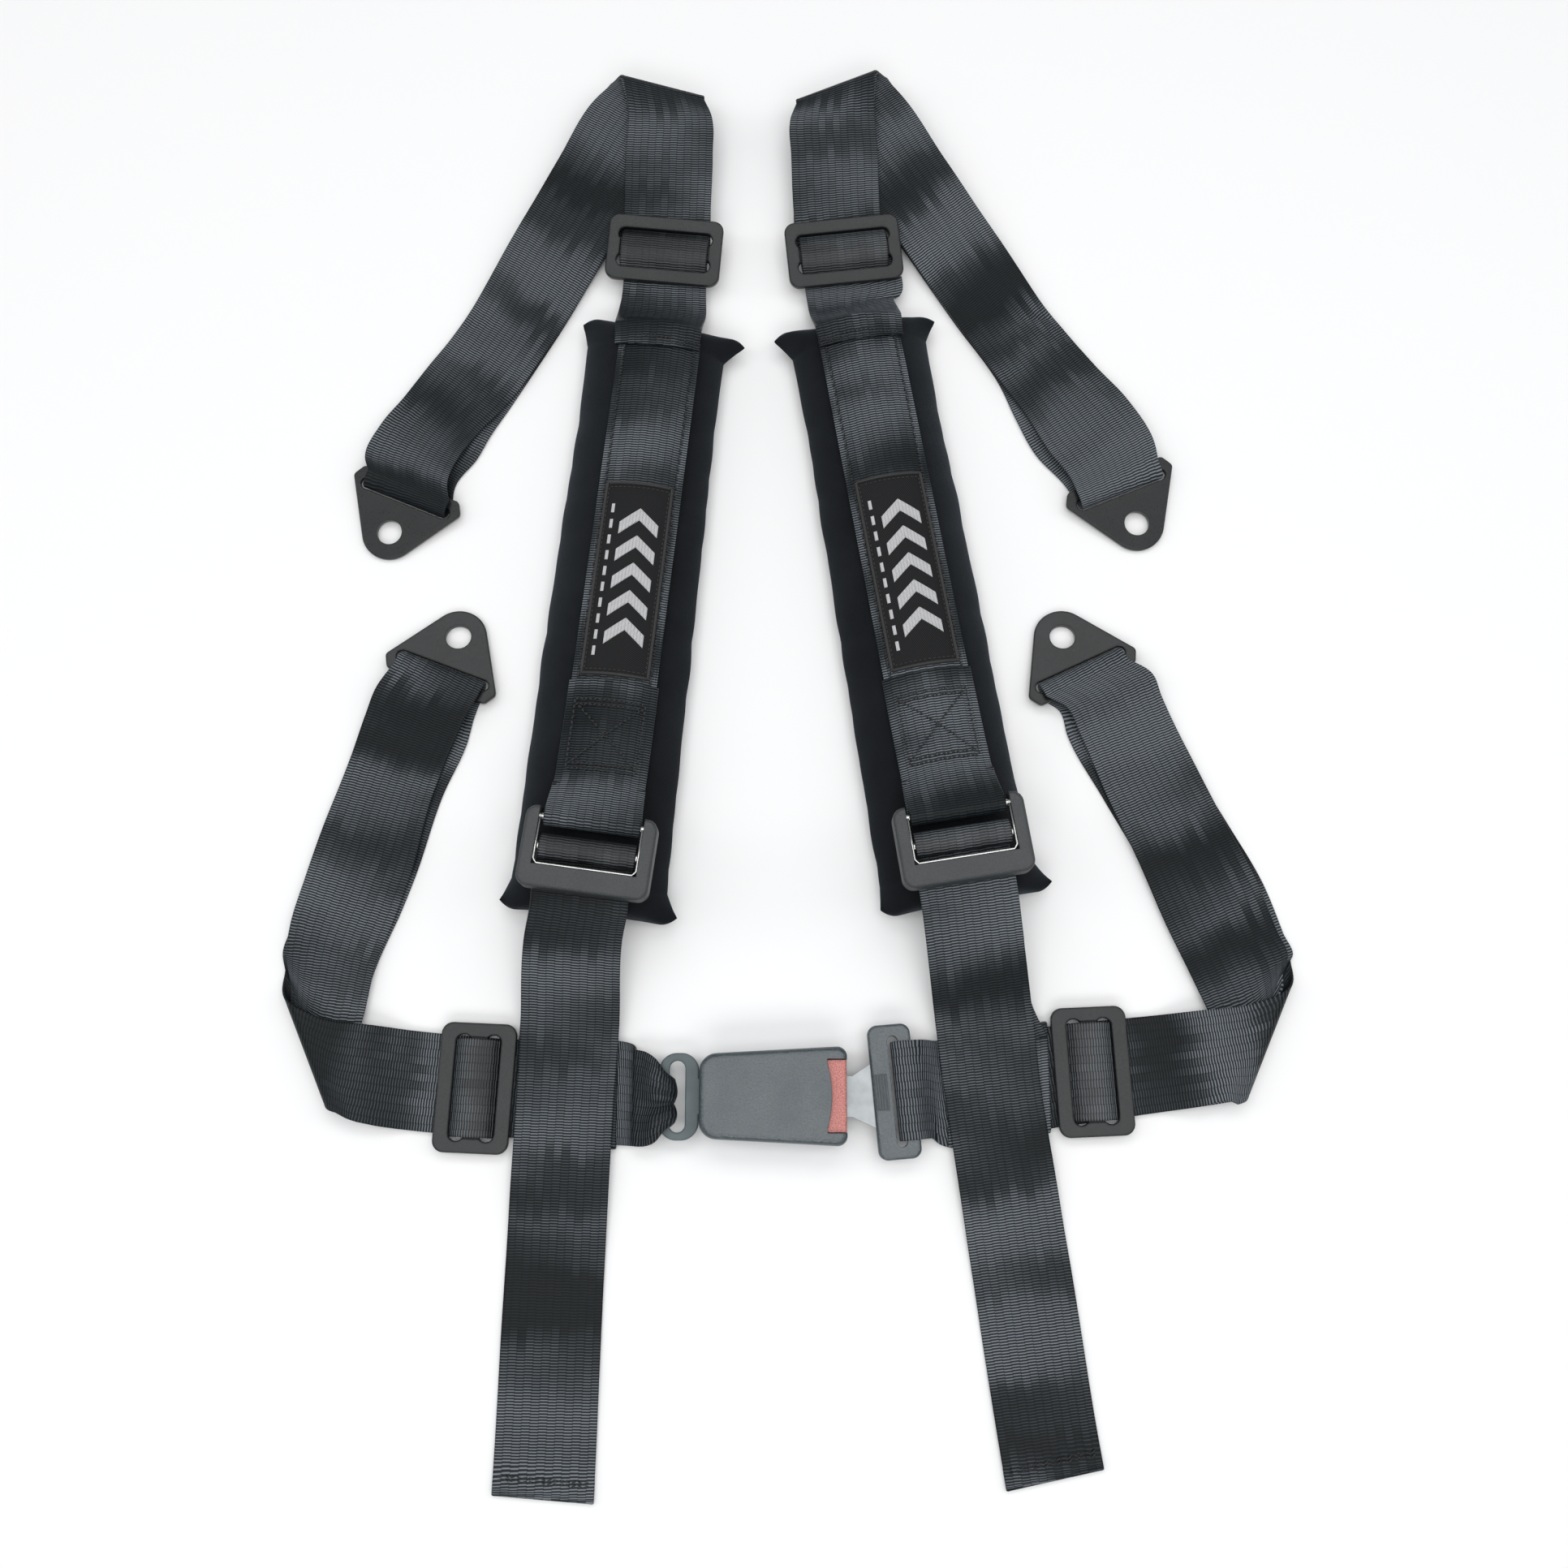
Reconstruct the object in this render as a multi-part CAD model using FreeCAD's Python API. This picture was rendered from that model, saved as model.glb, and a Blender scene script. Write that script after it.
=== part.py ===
import FreeCAD, Part
import math
import os

# Four-point racing harness, laid out flat on a surface. Millimetres, +Z up.
# +X runs to the right lap bracket and +Y to the shoulder brackets. The origin
# is on the surface, under the middle of the laid-out harness. Plan positions
# are written from a mark on the surface at (MIDDLE_X, MIDDLE_Y) from there.

MIDDLE_X = 2.0
MIDDLE_Y = 32.5

# Webbing: 50 mm (2 inch) wide polyester.
WEB = 50.0
HALF_WEB = WEB / 2
PLY = 1.3
GAP = 0.3
FLOOR_GAP = 0.2
DOUBLE = 2 * PLY + GAP
PLY_2 = FLOOR_GAP + PLY + GAP
PLY_3 = PLY_2 + PLY + GAP
PLY_4 = PLY_3 + PLY + GAP

# Bolt-in bracket: 3 mm plate with one bolt hole and one webbing slot.
BRACKET_PLATE = 3.0
BRACKET_BAR = 3.0
BRACKET_SLOT = 6.5
BRACKET_SLOT_LENGTH = 54.0
BRACKET_SHOULDER = 33.0
BRACKET_BASE = 29.0
BRACKET_HOLE_R = 7.0
BRACKET_HOLE_AT = 27.5
BRACKET_TIP_R = 15.5
BRACKET_FILLET = 0.8
BAR_HEIGHT = 5.2
BAR_TURN_R = 3.7
BRACKET_TILT = math.degrees(math.asin((BAR_HEIGHT - 1.6) / (BRACKET_HOLE_AT + BRACKET_TIP_R)))
BRACKET_SWING = 80.0

# Three-bar slide.
SLIDE_LENGTH = 66.0
SLIDE_WIDTH = 39.0
SLIDE_PLATE = 3.6
SLIDE_CORNER = 6.0
SLIDE_SLOT_LENGTH = 54.0
SLIDE_SLOT_R = 4.0
SLIDE_BAR = 7.5
SLIDE_BAR_PLATE = 2.0
SLIDE_FILLET = 0.9

# Shoulder pad with its sleeve and badge patch.
PAD_LENGTH = 332.0
PAD_WIDTH = 80.0
PAD_TOP = 31.0
PAD_ROUND = 11.0
SLEEVE_WIDTH = 45.5
SLEEVE_PLY = 2.0
SLEEVE_FROM = 13.0
SLEEVE_TO = 265.0
PATCH_WIDTH = 37.0
PATCH_FROM = 98.0
PATCH_TO = 208.0
PATCH_PLY = 1.2

# Tilt-lock adjuster on the lower end of each pad.
ADJUSTER_AT = 305.0
ADJUSTER_BASE = PAD_TOP + 2 * PLY + 3 * GAP + 0.1
ADJUSTER_LENGTH = 68.0
ADJUSTER_WIDTH = 42.0
ADJUSTER_HEIGHT = 10.5
ADJUSTER_RAIL_X = 27.0
ADJUSTER_RAIL = 2.0
REAR_BAR_Y = 16.0
REAR_BAR_R = 2.0
REAR_BAR_Z = 4.2
FLOAT_BAR_Y = 0.5
FLOAT_BAR_R = 2.4
FLOAT_BAR_Z = 5.6
FLOAT_TRAVEL = 4.0
ADJUSTER_SWING = 30.0

# Push-button buckle, along +X from its closed end.
BUCKLE_X = -43.0
BUCKLE_Y = -166.0
BUCKLE_LENGTH = 75.0
BUCKLE_WIDTH = 50.0
BUCKLE_NARROW = 42.0
BUCKLE_BASE = 0.3
BUCKLE_TOP = 22.3
BUCKLE_SPLIT = 10.3
BUCKLE_WALL = 1.8
BUTTON_LENGTH = 10.0
BUTTON_WIDTH = 36.0
BUTTON_TRAVEL = 4.0
TONGUE_BASE = 7.9
TONGUE_PLATE = 2.4
TONGUE_TRAVEL = 60.0
LATCH_LEAF = 0.8
LATCH_Z = 11.2
LATCH_ROOT_Z = 9.8
RIVET_X = 11.0
EJECTOR_TRAVEL = 7.5
TONGUE_COVER_X = 56.3
TONGUE_COVER_Y = -163.5
TONGUE_COVER_TURN = 5.0

UP = FreeCAD.Vector(0, 0, 1)
DOWN = FreeCAD.Vector(0, 0, -1)


def at(x, y, z=0.0):
    """A layout position as a point in the object's frame."""
    return FreeCAD.Vector(x - MIDDLE_X, y - MIDDLE_Y, z)


def placed(shape, spot, turn=0.0, tilt=0.0):
    """Tilt a local shape about X, turn it about Z, then move it to its spot."""
    out = shape.copy()
    out.rotate(FreeCAD.Vector(0, 0, 0), FreeCAD.Vector(1, 0, 0), tilt)
    out.rotate(FreeCAD.Vector(0, 0, 0), UP, turn)
    out.translate(spot)
    return out


def moved(point, spot, turn=0.0, tilt=0.0):
    """The same tilt, turn and move for one local point."""
    rotation = FreeCAD.Rotation(UP, turn).multiply(
        FreeCAD.Rotation(FreeCAD.Vector(1, 0, 0), tilt)
    )
    return rotation.multVec(point) + spot


def box(x0, x1, y0, y1, z0, z1):
    return Part.makeBox(x1 - x0, y1 - y0, z1 - z0, FreeCAD.Vector(x0, y0, z0))


def bar_x(radius, half_length, y, z):
    """A round bar along X."""
    return Part.makeCylinder(
        radius, 2 * half_length, FreeCAD.Vector(-half_length, y, z), FreeCAD.Vector(1, 0, 0)
    )


def bar_y(radius, half_length, x, z, y=0.0):
    """A round bar along Y."""
    return Part.makeCylinder(
        radius, 2 * half_length, FreeCAD.Vector(x, y - half_length, z), FreeCAD.Vector(0, 1, 0)
    )


def rounded_slab(x0, x1, y0, y1, z0, z1, radius):
    """A plate with rounded upright corners."""
    solid = box(x0, x1, y0, y1, z0, z1)
    upright = [e for e in solid.Edges if abs(e.tangentAt(e.FirstParameter).z) > 0.9]
    return solid.makeFillet(radius, upright)


def stadium(length, radius, x, y, z0, z1):
    """A straight slot along X with round ends."""
    run = length / 2 - radius
    solid = box(x - run, x + run, y - radius, y + radius, z0, z1)
    for end in (x - run, x + run):
        solid = solid.fuse(Part.makeCylinder(radius, z1 - z0, FreeCAD.Vector(end, y, z0)))
    return solid.removeSplitter()


def soften(solid, radius, keep_out=None):
    """Round the edges of the two flat faces, apart from those that keep_out picks."""
    edges = []
    for edge in solid.Edges:
        level = edge.BoundBox.ZLength < 1e-6
        if level and not (keep_out and keep_out(edge)):
            edges.append(edge)
    return solid.makeFillet(radius, edges)


# ---------------------------------------------------------------- webbing


def station(left, right, normal=UP, thickness=PLY):
    """One cross-section of a band: its two edges, and which way it is thick."""
    up = FreeCAD.Vector(normal)
    up.normalize()
    return (left, right, up * thickness)


def band(stations):
    """A webbing band lofted through its cross-sections."""
    wires = []
    for left, right, up in stations:
        wires.append(Part.makePolygon([left, right, right + up, left + up, left]))
    return Part.makeLoft(wires, True, True)


def bend(left, right, away, radius, start, stop, steps, thickness=PLY):
    """Cross-sections of a band that turns round the line from left to right."""
    out = []
    for k in range(steps + 1):
        angle = math.radians(start + (stop - start) * k / steps)
        normal = away * math.cos(angle) + UP * math.sin(angle)
        out.append(station(left + normal * radius, right + normal * radius, normal, thickness))
    return out


def side_band(points, half_width, thickness):
    """A band whose side view is a line through (y, z) points, wide along X."""
    stations = []
    for k, (y, z) in enumerate(points):
        before = points[max(k - 1, 0)]
        after = points[min(k + 1, len(points) - 1)]
        normal = FreeCAD.Vector(0, before[1] - after[1], after[0] - before[0])
        if normal.z < 0:
            normal = normal * -1
        stations.append(
            station(
                FreeCAD.Vector(-half_width, y, z),
                FreeCAD.Vector(half_width, y, z),
                normal,
                thickness,
            )
        )
    return band(stations)


def doubled_strap(edges, under_shift, spot, turn):
    """Webbing that runs to a bracket, round its bar and back beneath itself.

    edges lists (left x, y, right x, y, height) from the fold to the bracket.
    """
    away = moved(FreeCAD.Vector(0, -1, 0), FreeCAD.Vector(0, 0, 0), turn)
    across = moved(FreeCAD.Vector(1, 0, 0), FreeCAD.Vector(0, 0, 0), turn)
    bar = FreeCAD.Vector(spot.x, spot.y, BAR_HEIGHT)
    if (at(edges[-1][2], edges[-1][3]) - at(edges[-1][0], edges[-1][1])).dot(across) < 0:
        across = across * -1
    left = bar - across * HALF_WEB
    right = bar + across * HALF_WEB
    stations = []
    for x0, y0, x1, y1, z in edges:
        low = z + PLY + GAP
        stations.append(station(at(x0, y0, low), at(x1, y1, low)))
    stations += bend(left, right, away, BAR_TURN_R, 90, -90, 8)
    last = len(edges) - 1
    for k in range(last, -1, -1):
        x0, y0, x1, y1, z = edges[k]
        aside = under_shift * math.sin(math.pi * k / last)
        high = z + PLY
        stations.append(station(at(x0 + aside, y0, high), at(x1 + aside, y1, high), DOWN))
    return band(stations)


def folded_front(fold_left, fold_right, away, low, radius, after):
    """The front of a strap: round the fold line, then on through its cross-sections.

    low is the underside of the plies that come to the fold from beneath.
    """
    centre = low + DOUBLE + radius
    left = at(fold_left[0], fold_left[1], centre)
    right = at(fold_right[0], fold_right[1], centre)
    stations = bend(left, right, away, radius, -90, 90, 8, DOUBLE)
    return band(stations + after)


# ---------------------------------------------------------------- bracket


def tangent_point(start, centre, radius, side):
    """Where the line from start touches the circle, on the given side."""
    gap = centre - start
    reach = math.atan2(gap.y, gap.x) + side * math.asin(radius / gap.Length)
    length = math.sqrt(gap.Length**2 - radius**2)
    return start + FreeCAD.Vector(math.cos(reach), math.sin(reach), 0) * length


def bracket():
    """Plate with its webbing bar along X at the origin and its tip towards -Y."""
    v = FreeCAD.Vector
    half = BRACKET_PLATE / 2
    tip = v(0, -BRACKET_HOLE_AT, 0)
    top_y = BRACKET_BAR
    side_y = -4.0
    left = tangent_point(v(-BRACKET_SHOULDER, side_y, 0), tip, BRACKET_TIP_R, -1)
    right = v(-left.x, left.y, 0)
    outline = Part.Wire(
        [
            Part.makeLine(left, v(-BRACKET_SHOULDER, side_y, 0)),
            Part.makeLine(v(-BRACKET_SHOULDER, side_y, 0), v(-BRACKET_BASE, top_y, 0)),
            Part.makeLine(v(-BRACKET_BASE, top_y, 0), v(BRACKET_BASE, top_y, 0)),
            Part.makeLine(v(BRACKET_BASE, top_y, 0), v(BRACKET_SHOULDER, side_y, 0)),
            Part.makeLine(v(BRACKET_SHOULDER, side_y, 0), right),
            Part.Arc(right, v(0, -BRACKET_HOLE_AT - BRACKET_TIP_R, 0), left).toShape(),
        ]
    )
    plate = Part.Face(outline).extrude(v(0, 0, BRACKET_PLATE))
    plate.translate(v(0, 0, -half))
    upright = []
    for edge in plate.Edges:
        top = edge.BoundBox
        if top.ZLength > half and (abs(top.Center.x) > BRACKET_BASE - 1):
            upright.append(edge)
    plate = plate.makeFillet(3.0, upright)
    slot_y = -BRACKET_BAR - BRACKET_SLOT / 2
    slot = stadium(BRACKET_SLOT_LENGTH, BRACKET_SLOT / 2, 0, slot_y, -half - 1, half + 1)
    hole = Part.makeCylinder(BRACKET_HOLE_R, BRACKET_PLATE + 2, v(0, -BRACKET_HOLE_AT, -half - 1))
    plate = soften(plate.cut(slot), BRACKET_FILLET)
    return plate.cut(hole)


def slide():
    """Three-bar slide: two slots with a recessed middle bar between them."""
    half_x = SLIDE_LENGTH / 2
    half_y = SLIDE_WIDTH / 2
    plate = rounded_slab(-half_x, half_x, -half_y, half_y, 0, SLIDE_PLATE, SLIDE_CORNER)
    slot_y = SLIDE_BAR / 2 + SLIDE_SLOT_R
    for y in (-slot_y, slot_y):
        plate = plate.cut(stadium(SLIDE_SLOT_LENGTH, SLIDE_SLOT_R, 0, y, -1, SLIDE_PLATE + 1))
    plate = soften(plate, SLIDE_FILLET)
    run = SLIDE_SLOT_LENGTH / 2 - 1.2
    recess = box(-run, run, -slot_y, slot_y, SLIDE_BAR_PLATE, SLIDE_PLATE + 1)
    return plate.cut(recess)


def slide_webbing():
    """The short run of webbing that rises through the slide and over its middle bar."""
    over = SLIDE_BAR / 2 + GAP
    crest = SLIDE_BAR_PLATE + GAP
    edge = SLIDE_BAR / 2 + 2 * SLIDE_SLOT_R - GAP - PLY
    points = [(-edge, 0.1), (-over - 2.0, 1.5), (-over + 1.0, crest), (0, crest)]
    points += [(-y, z) for y, z in reversed(points[:-1])]
    return side_band(points, HALF_WEB, PLY)


# ---------------------------------------------------------------- pad


def pad():
    """Padded cushion, hanging from its top end at the origin towards -Y."""
    half = PAD_WIDTH / 2
    solid = box(-half, half, -PAD_LENGTH, 0, FLOOR_GAP, PAD_TOP)
    return solid.makeFillet(PAD_ROUND, solid.Edges)


def sleeve():
    """Webbing sewn along the top of the pad."""
    low = PAD_TOP + GAP
    half = SLEEVE_WIDTH / 2
    return box(-half, half, -SLEEVE_TO, -SLEEVE_FROM, low, low + SLEEVE_PLY)


def patch():
    """Stitched badge patch on the sleeve."""
    low = PAD_TOP + SLEEVE_PLY + 2 * GAP
    half = PATCH_WIDTH / 2
    return rounded_slab(-half, half, -PATCH_TO, -PATCH_FROM, low, low + PATCH_PLY, 2.0)


# ---------------------------------------------------------------- adjuster


def adjuster_frame():
    """Pressed steel frame: two side rails, a round rear bar and a front lip."""
    x0 = ADJUSTER_RAIL_X
    x1 = ADJUSTER_RAIL_X + ADJUSTER_RAIL
    solid = bar_x(REAR_BAR_R, x1, REAR_BAR_Y, REAR_BAR_Z)
    window = box(
        -x1 - 1,
        x1 + 1,
        FLOAT_BAR_Y - FLOAT_BAR_R - 0.1,
        FLOAT_BAR_Y + FLOAT_TRAVEL + FLOAT_BAR_R + 0.1,
        FLOAT_BAR_Z - FLOAT_BAR_R - 0.1,
        FLOAT_BAR_Z + FLOAT_BAR_R + 0.1,
    )
    for side in (-1, 1):
        low, high = sorted((side * x0, side * x1))
        rail = box(low, high, -17, 19, 0.6, 9.0)
        solid = solid.fuse(rail)
    solid = solid.fuse(box(-x1, x1, -17, -9.5, 0.6, 2.6))
    solid = solid.fuse(box(-x1, x1, -11.5, -9.5, 0.6, 8.2))
    return solid.cut(window).removeSplitter()


def adjuster_cover(frame):
    """Plastic bezel: two arms and a deep front rim round the steel frame."""
    half = ADJUSTER_LENGTH / 2
    back = ADJUSTER_WIDTH / 2
    body = rounded_slab(-half, half, -back, back, 0, ADJUSTER_HEIGHT, 6.0)
    body = soften(body, 2.2, lambda edge: edge.BoundBox.ZMax < 1)
    inner = ADJUSTER_RAIL_X
    body = body.cut(box(-inner, inner, -9.5, back + 1, -1, ADJUSTER_HEIGHT + 1))
    outer = inner + ADJUSTER_RAIL
    clear = 0.05
    for side in (-1, 1):
        low, high = sorted((side * (inner - 1), side * (outer + clear)))
        body = body.cut(box(low, high, -17 - clear, 19 + clear, 0.6 - clear, 9.0 + clear))
    body = body.cut(box(-outer, outer, -17 - clear, -9, 0.6 - clear, 2.6 + clear))
    body = body.cut(box(-outer, outer, -11.5 - clear, -9, 0.6 - clear, 8.2 + clear))
    return body


def float_bar():
    """The bar that grips the webbing, with flats where it rides in the rails."""
    half = ADJUSTER_RAIL_X + ADJUSTER_RAIL
    return bar_x(FLOAT_BAR_R, half, FLOAT_BAR_Y, FLOAT_BAR_Z)


def float_bar_webbing():
    """Webbing over the gripping bar, open underneath where both ends leave."""
    left = FreeCAD.Vector(-HALF_WEB, FLOAT_BAR_Y, FLOAT_BAR_Z)
    right = FreeCAD.Vector(HALF_WEB, FLOAT_BAR_Y, FLOAT_BAR_Z)
    return band(bend(left, right, FreeCAD.Vector(0, -1, 0), FLOAT_BAR_R + GAP, -60, 220, 12))


# ---------------------------------------------------------------- lap loop


def lap_loop(x0, x1, top_edge, bottom_edge):
    """Sewn loop of webbing round the lap belt, which slides through it."""
    belt_low = PLY_2
    inner_low = belt_low - GAP
    inner_high = belt_low + PLY + GAP
    centre = (inner_low + inner_high) / 2
    radius = (inner_high - inner_low) / 2
    rings = []
    for x, high_y, low_y in ((x0, top_edge[0], bottom_edge[0]), (x1, top_edge[1], bottom_edge[1])):
        rings.append((x, high_y, low_y))
    outer = []
    inner = []
    for x, high_y, low_y in rings:
        outer.append(race_track(x, low_y, high_y, centre, radius + PLY))
        inner.append(race_track(x, low_y, high_y, centre, radius))
    return Part.makeLoft(outer, True, True).cut(Part.makeLoft(inner, True, True))


def race_track(x, low_y, high_y, centre, radius):
    """A closed wire across X: two straight runs with round ends."""
    a = at(x, high_y, centre + radius)
    b = at(x, low_y, centre + radius)
    c = at(x, low_y, centre - radius)
    d = at(x, high_y, centre - radius)
    return Part.Wire(
        [
            Part.makeLine(a, b),
            Part.Arc(b, at(x, low_y - radius, centre), c).toShape(),
            Part.makeLine(c, d),
            Part.Arc(d, at(x, high_y + radius, centre), a).toShape(),
        ]
    )


# ---------------------------------------------------------------- buckle


def buckle_spot():
    """The middle of the buckle's closed end, on the surface."""
    return at(BUCKLE_X, BUCKLE_Y)


def buckle_outline(inset):
    """The buckle's plan outline, narrower at the closed end, with round corners."""
    v = FreeCAD.Vector
    narrow = BUCKLE_NARROW / 2 - inset
    wide = BUCKLE_WIDTH / 2 - inset
    x0 = inset
    x1 = BUCKLE_LENGTH - inset
    corners = [v(x0, -narrow, 0), v(x1, -wide, 0), v(x1, wide, 0), v(x0, narrow, 0)]
    return Part.Face(Part.makePolygon(corners + corners[:1]))


def buckle_body(inset, z0, z1):
    """A solid with the buckle's outline between two heights."""
    solid = buckle_outline(inset).extrude(FreeCAD.Vector(0, 0, z1 - z0))
    solid.translate(FreeCAD.Vector(0, 0, z0))
    for end, radius in ((0, 9.0), (BUCKLE_LENGTH, 5.0)):
        upright = []
        for edge in solid.Edges:
            middle = edge.BoundBox
            if middle.ZLength > (z1 - z0) / 2 and abs(middle.Center.x - end) < inset + 2:
                upright.append(edge)
        solid = solid.makeFillet(max(radius - inset, 1.0), upright)
    return solid


def buckle_cavity():
    """The hollow inside both covers, with the tongue's mouth and the anchor's exit."""
    hollow = buckle_body(BUCKLE_WALL, BUCKLE_BASE + BUCKLE_WALL, BUCKLE_TOP - BUCKLE_WALL)
    mouth = box(60, 80, -12.5, 12.5, TONGUE_BASE - 0.9, TONGUE_BASE + TONGUE_PLATE + 1.2)
    neck = box(-5, 10, -10.0, 10.0, TONGUE_BASE - 0.8, BUCKLE_SPLIT)
    return hollow.fuse(mouth).fuse(neck)


def button_window():
    """The opening in the top and the end of the upper cover, with an arched inner edge."""
    half = BUTTON_WIDTH / 2 + 0.4
    start = BUCKLE_LENGTH - BUTTON_LENGTH
    window = box(start, BUCKLE_LENGTH + 5, -half, half, TONGUE_BASE + TONGUE_PLATE + 1.8, 30)
    arch_r = 60.0
    arch = Part.makeCylinder(arch_r, 30, FreeCAD.Vector(start - arch_r + 2.2, 0, 0))
    return window.cut(arch)


def buckle_cover_upper():
    """Upper shell of the buckle."""
    outer = buckle_body(0, BUCKLE_SPLIT, BUCKLE_TOP)
    outer = outer.makeFillet(3.2, [e for e in outer.Edges if e.BoundBox.ZMin > BUCKLE_TOP - 0.01])
    return outer.cut(buckle_cavity()).cut(button_window())


def buckle_cover_lower():
    """Lower shell of the buckle with two screw bosses."""
    outer = buckle_body(0, BUCKLE_BASE, BUCKLE_SPLIT)
    outer = outer.makeFillet(2.2, [e for e in outer.Edges if e.BoundBox.ZMax < BUCKLE_BASE + 0.01])
    outer = outer.cut(buckle_cavity())
    for x, y in screw_places():
        boss = Part.makeCylinder(
            2.6, BUCKLE_SPLIT - BUCKLE_BASE - 2.6, FreeCAD.Vector(x, y, BUCKLE_BASE + 1.6)
        )
        outer = outer.fuse(boss)
    for x, y in screw_places():
        outer = outer.cut(Part.makeCylinder(1.3, 20, FreeCAD.Vector(x, y, -1)))
        outer = outer.cut(Part.makeCylinder(2.3, 1.2 + 1, FreeCAD.Vector(x, y, BUCKLE_BASE - 1)))
    return outer.removeSplitter()


def screw_places():
    """Where the four cover screws stand."""
    return [(x, side * y) for x, y in ((11.0, 18.0), (58.0, 20.3)) for side in (-1, 1)]


def cover_screws():
    """Four screws that hold the two covers together."""
    screws = []
    for x, y in screw_places():
        shaft = Part.makeCylinder(1.25, BUCKLE_SPLIT - 1.6, FreeCAD.Vector(x, y, BUCKLE_BASE + 0.7))
        head = Part.makeCylinder(2.2, 0.9, FreeCAD.Vector(x, y, BUCKLE_BASE + 0.2))
        screws.append(shaft.fuse(head))
    return Part.makeCompound(screws)


def buckle_frame():
    """Steel channel that takes the belt load, with low walls that guide the tongue."""
    low = TONGUE_BASE - 2.4
    base = box(6, 70, -15, 15, low, low + 2.0)
    for side in (-1, 1):
        y0, y1 = sorted((side * 13.0, side * 15.0))
        base = base.fuse(box(8, 56, y0, y1, low, 13.0))
    slot = box(43, 53.5, -8.5, 8.5, low - 1, low + 3)
    rivet = Part.makeCylinder(3.0, 10, FreeCAD.Vector(RIVET_X, 0, low - 4))
    return base.cut(slot).cut(rivet).removeSplitter()


def anchor_plate():
    """Ring that the left lap webbing loops through, riveted to the frame."""
    low = TONGUE_BASE - 0.3
    high = low + 2.2
    ring = rounded_slab(-21, -0.6, -22, 22, low, high, 9.0)
    slot = stadium(36, 4.0, 0, 0, low - 1, high + 1)
    slot.rotate(FreeCAD.Vector(0, 0, 0), UP, 90)
    slot.translate(FreeCAD.Vector(-11.6, 0, 0))
    ring = soften(ring.cut(slot), 0.7)
    neck = box(-4, 15.8, -9, 9, low, high)
    rivet = Part.makeCylinder(3.0, 10, FreeCAD.Vector(RIVET_X, 0, low - 3))
    return ring.fuse(neck).cut(rivet).removeSplitter()


def anchor_rivet():
    """Rivet through the frame, the anchor plate and the root of the latch."""
    low = TONGUE_BASE - 2.4
    high = LATCH_ROOT_Z + LATCH_LEAF
    shank = Part.makeCylinder(3.0, high - low, FreeCAD.Vector(RIVET_X, 0, low))
    foot = Part.makeCylinder(4.6, 1.2, FreeCAD.Vector(RIVET_X, 0, low - 1.2))
    head = Part.makeCylinder(3.5, 1.2, FreeCAD.Vector(RIVET_X, 0, high))
    return shank.fuse(foot).fuse(head)


def latch():
    """Spring steel leaf whose tooth stands in the tongue's window, with a tab to lift it."""
    root = LATCH_ROOT_Z
    low = LATCH_Z
    under = [(5, root), (14.9, root), (17.0, low), (52.5, low), (55.9, low + 3.6)]
    over = [(55.3, low + 4.2), (52.1, low + LATCH_LEAF), (16.6, low + LATCH_LEAF)]
    over += [(14.5, root + LATCH_LEAF), (5, root + LATCH_LEAF)]
    outline = [FreeCAD.Vector(x, -7, z) for x, z in under + over]
    leaf = Part.Face(Part.makePolygon(outline + outline[:1])).extrude(FreeCAD.Vector(0, 14, 0))
    tooth = box(46.4, 50.4, -6, 6, TONGUE_BASE - 0.5, low + 0.2)
    rivet = Part.makeCylinder(3.0, 10, FreeCAD.Vector(RIVET_X, 0, root - 3))
    return leaf.fuse(tooth).cut(rivet).removeSplitter()


def coil(start, direction, length, radius, wire, turns):
    """A compression spring from start along direction."""
    helix = Part.makeHelix(length / turns, length, radius)
    section = Part.Wire(
        Part.Circle(FreeCAD.Vector(radius, 0, 0), FreeCAD.Vector(0, 1, 0), wire).toShape()
    )
    spring = Part.Wire(helix.Edges).makePipeShell([section], True, True)
    spring.Placement = FreeCAD.Placement(start, FreeCAD.Rotation(UP, direction))
    return spring


def ejector():
    """Sledge that pushes the tongue out when the latch lets go."""
    z0 = TONGUE_BASE
    body = box(25.5, 37.0, -8, 8, z0, z0 + 2.4)
    guide = box(27.0, 35.0, -10, 10, z0, z0 + 1.4)
    return body.fuse(guide).removeSplitter()


def ejector_spring():
    """Spring behind the ejector, in front of the rivet."""
    start = FreeCAD.Vector(16.2, 0, TONGUE_BASE + 1.3)
    return coil(start, FreeCAD.Vector(1, 0, 0), 8.9, 0.9, 0.25, 6)


def button():
    """Release button: top and end faces, a lip that lifts the latch, and two arms."""
    half = BUTTON_WIDTH / 2
    start = BUCKLE_LENGTH - BUTTON_LENGTH
    low = TONGUE_BASE + TONGUE_PLATE + 2.2
    high = BUCKLE_TOP - BUCKLE_WALL - GAP
    body = box(start - 4, BUCKLE_LENGTH - 0.3, -half, half, low + 4.6, high)
    body = body.fuse(box(BUCKLE_LENGTH - 4, BUCKLE_LENGTH - 0.3, -half, half, low, high))
    edges = []
    for edge in body.Edges:
        middle = edge.BoundBox
        if middle.XMin > BUCKLE_LENGTH - 1 and middle.ZMax > high - 0.1 and middle.ZLength < 0.1:
            edges.append(edge)
    body = body.makeFillet(1.6, edges)
    body = body.fuse(box(56.4, BUCKLE_LENGTH - 3, -6, 6, low + 1.0, low + 2.2))
    for side in (-1, 1):
        y0, y1 = sorted((side * 16.0, side * 17.6))
        body = body.fuse(box(50, start, y0, y1, 15.0, high - 1))
    return body.removeSplitter()


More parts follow.
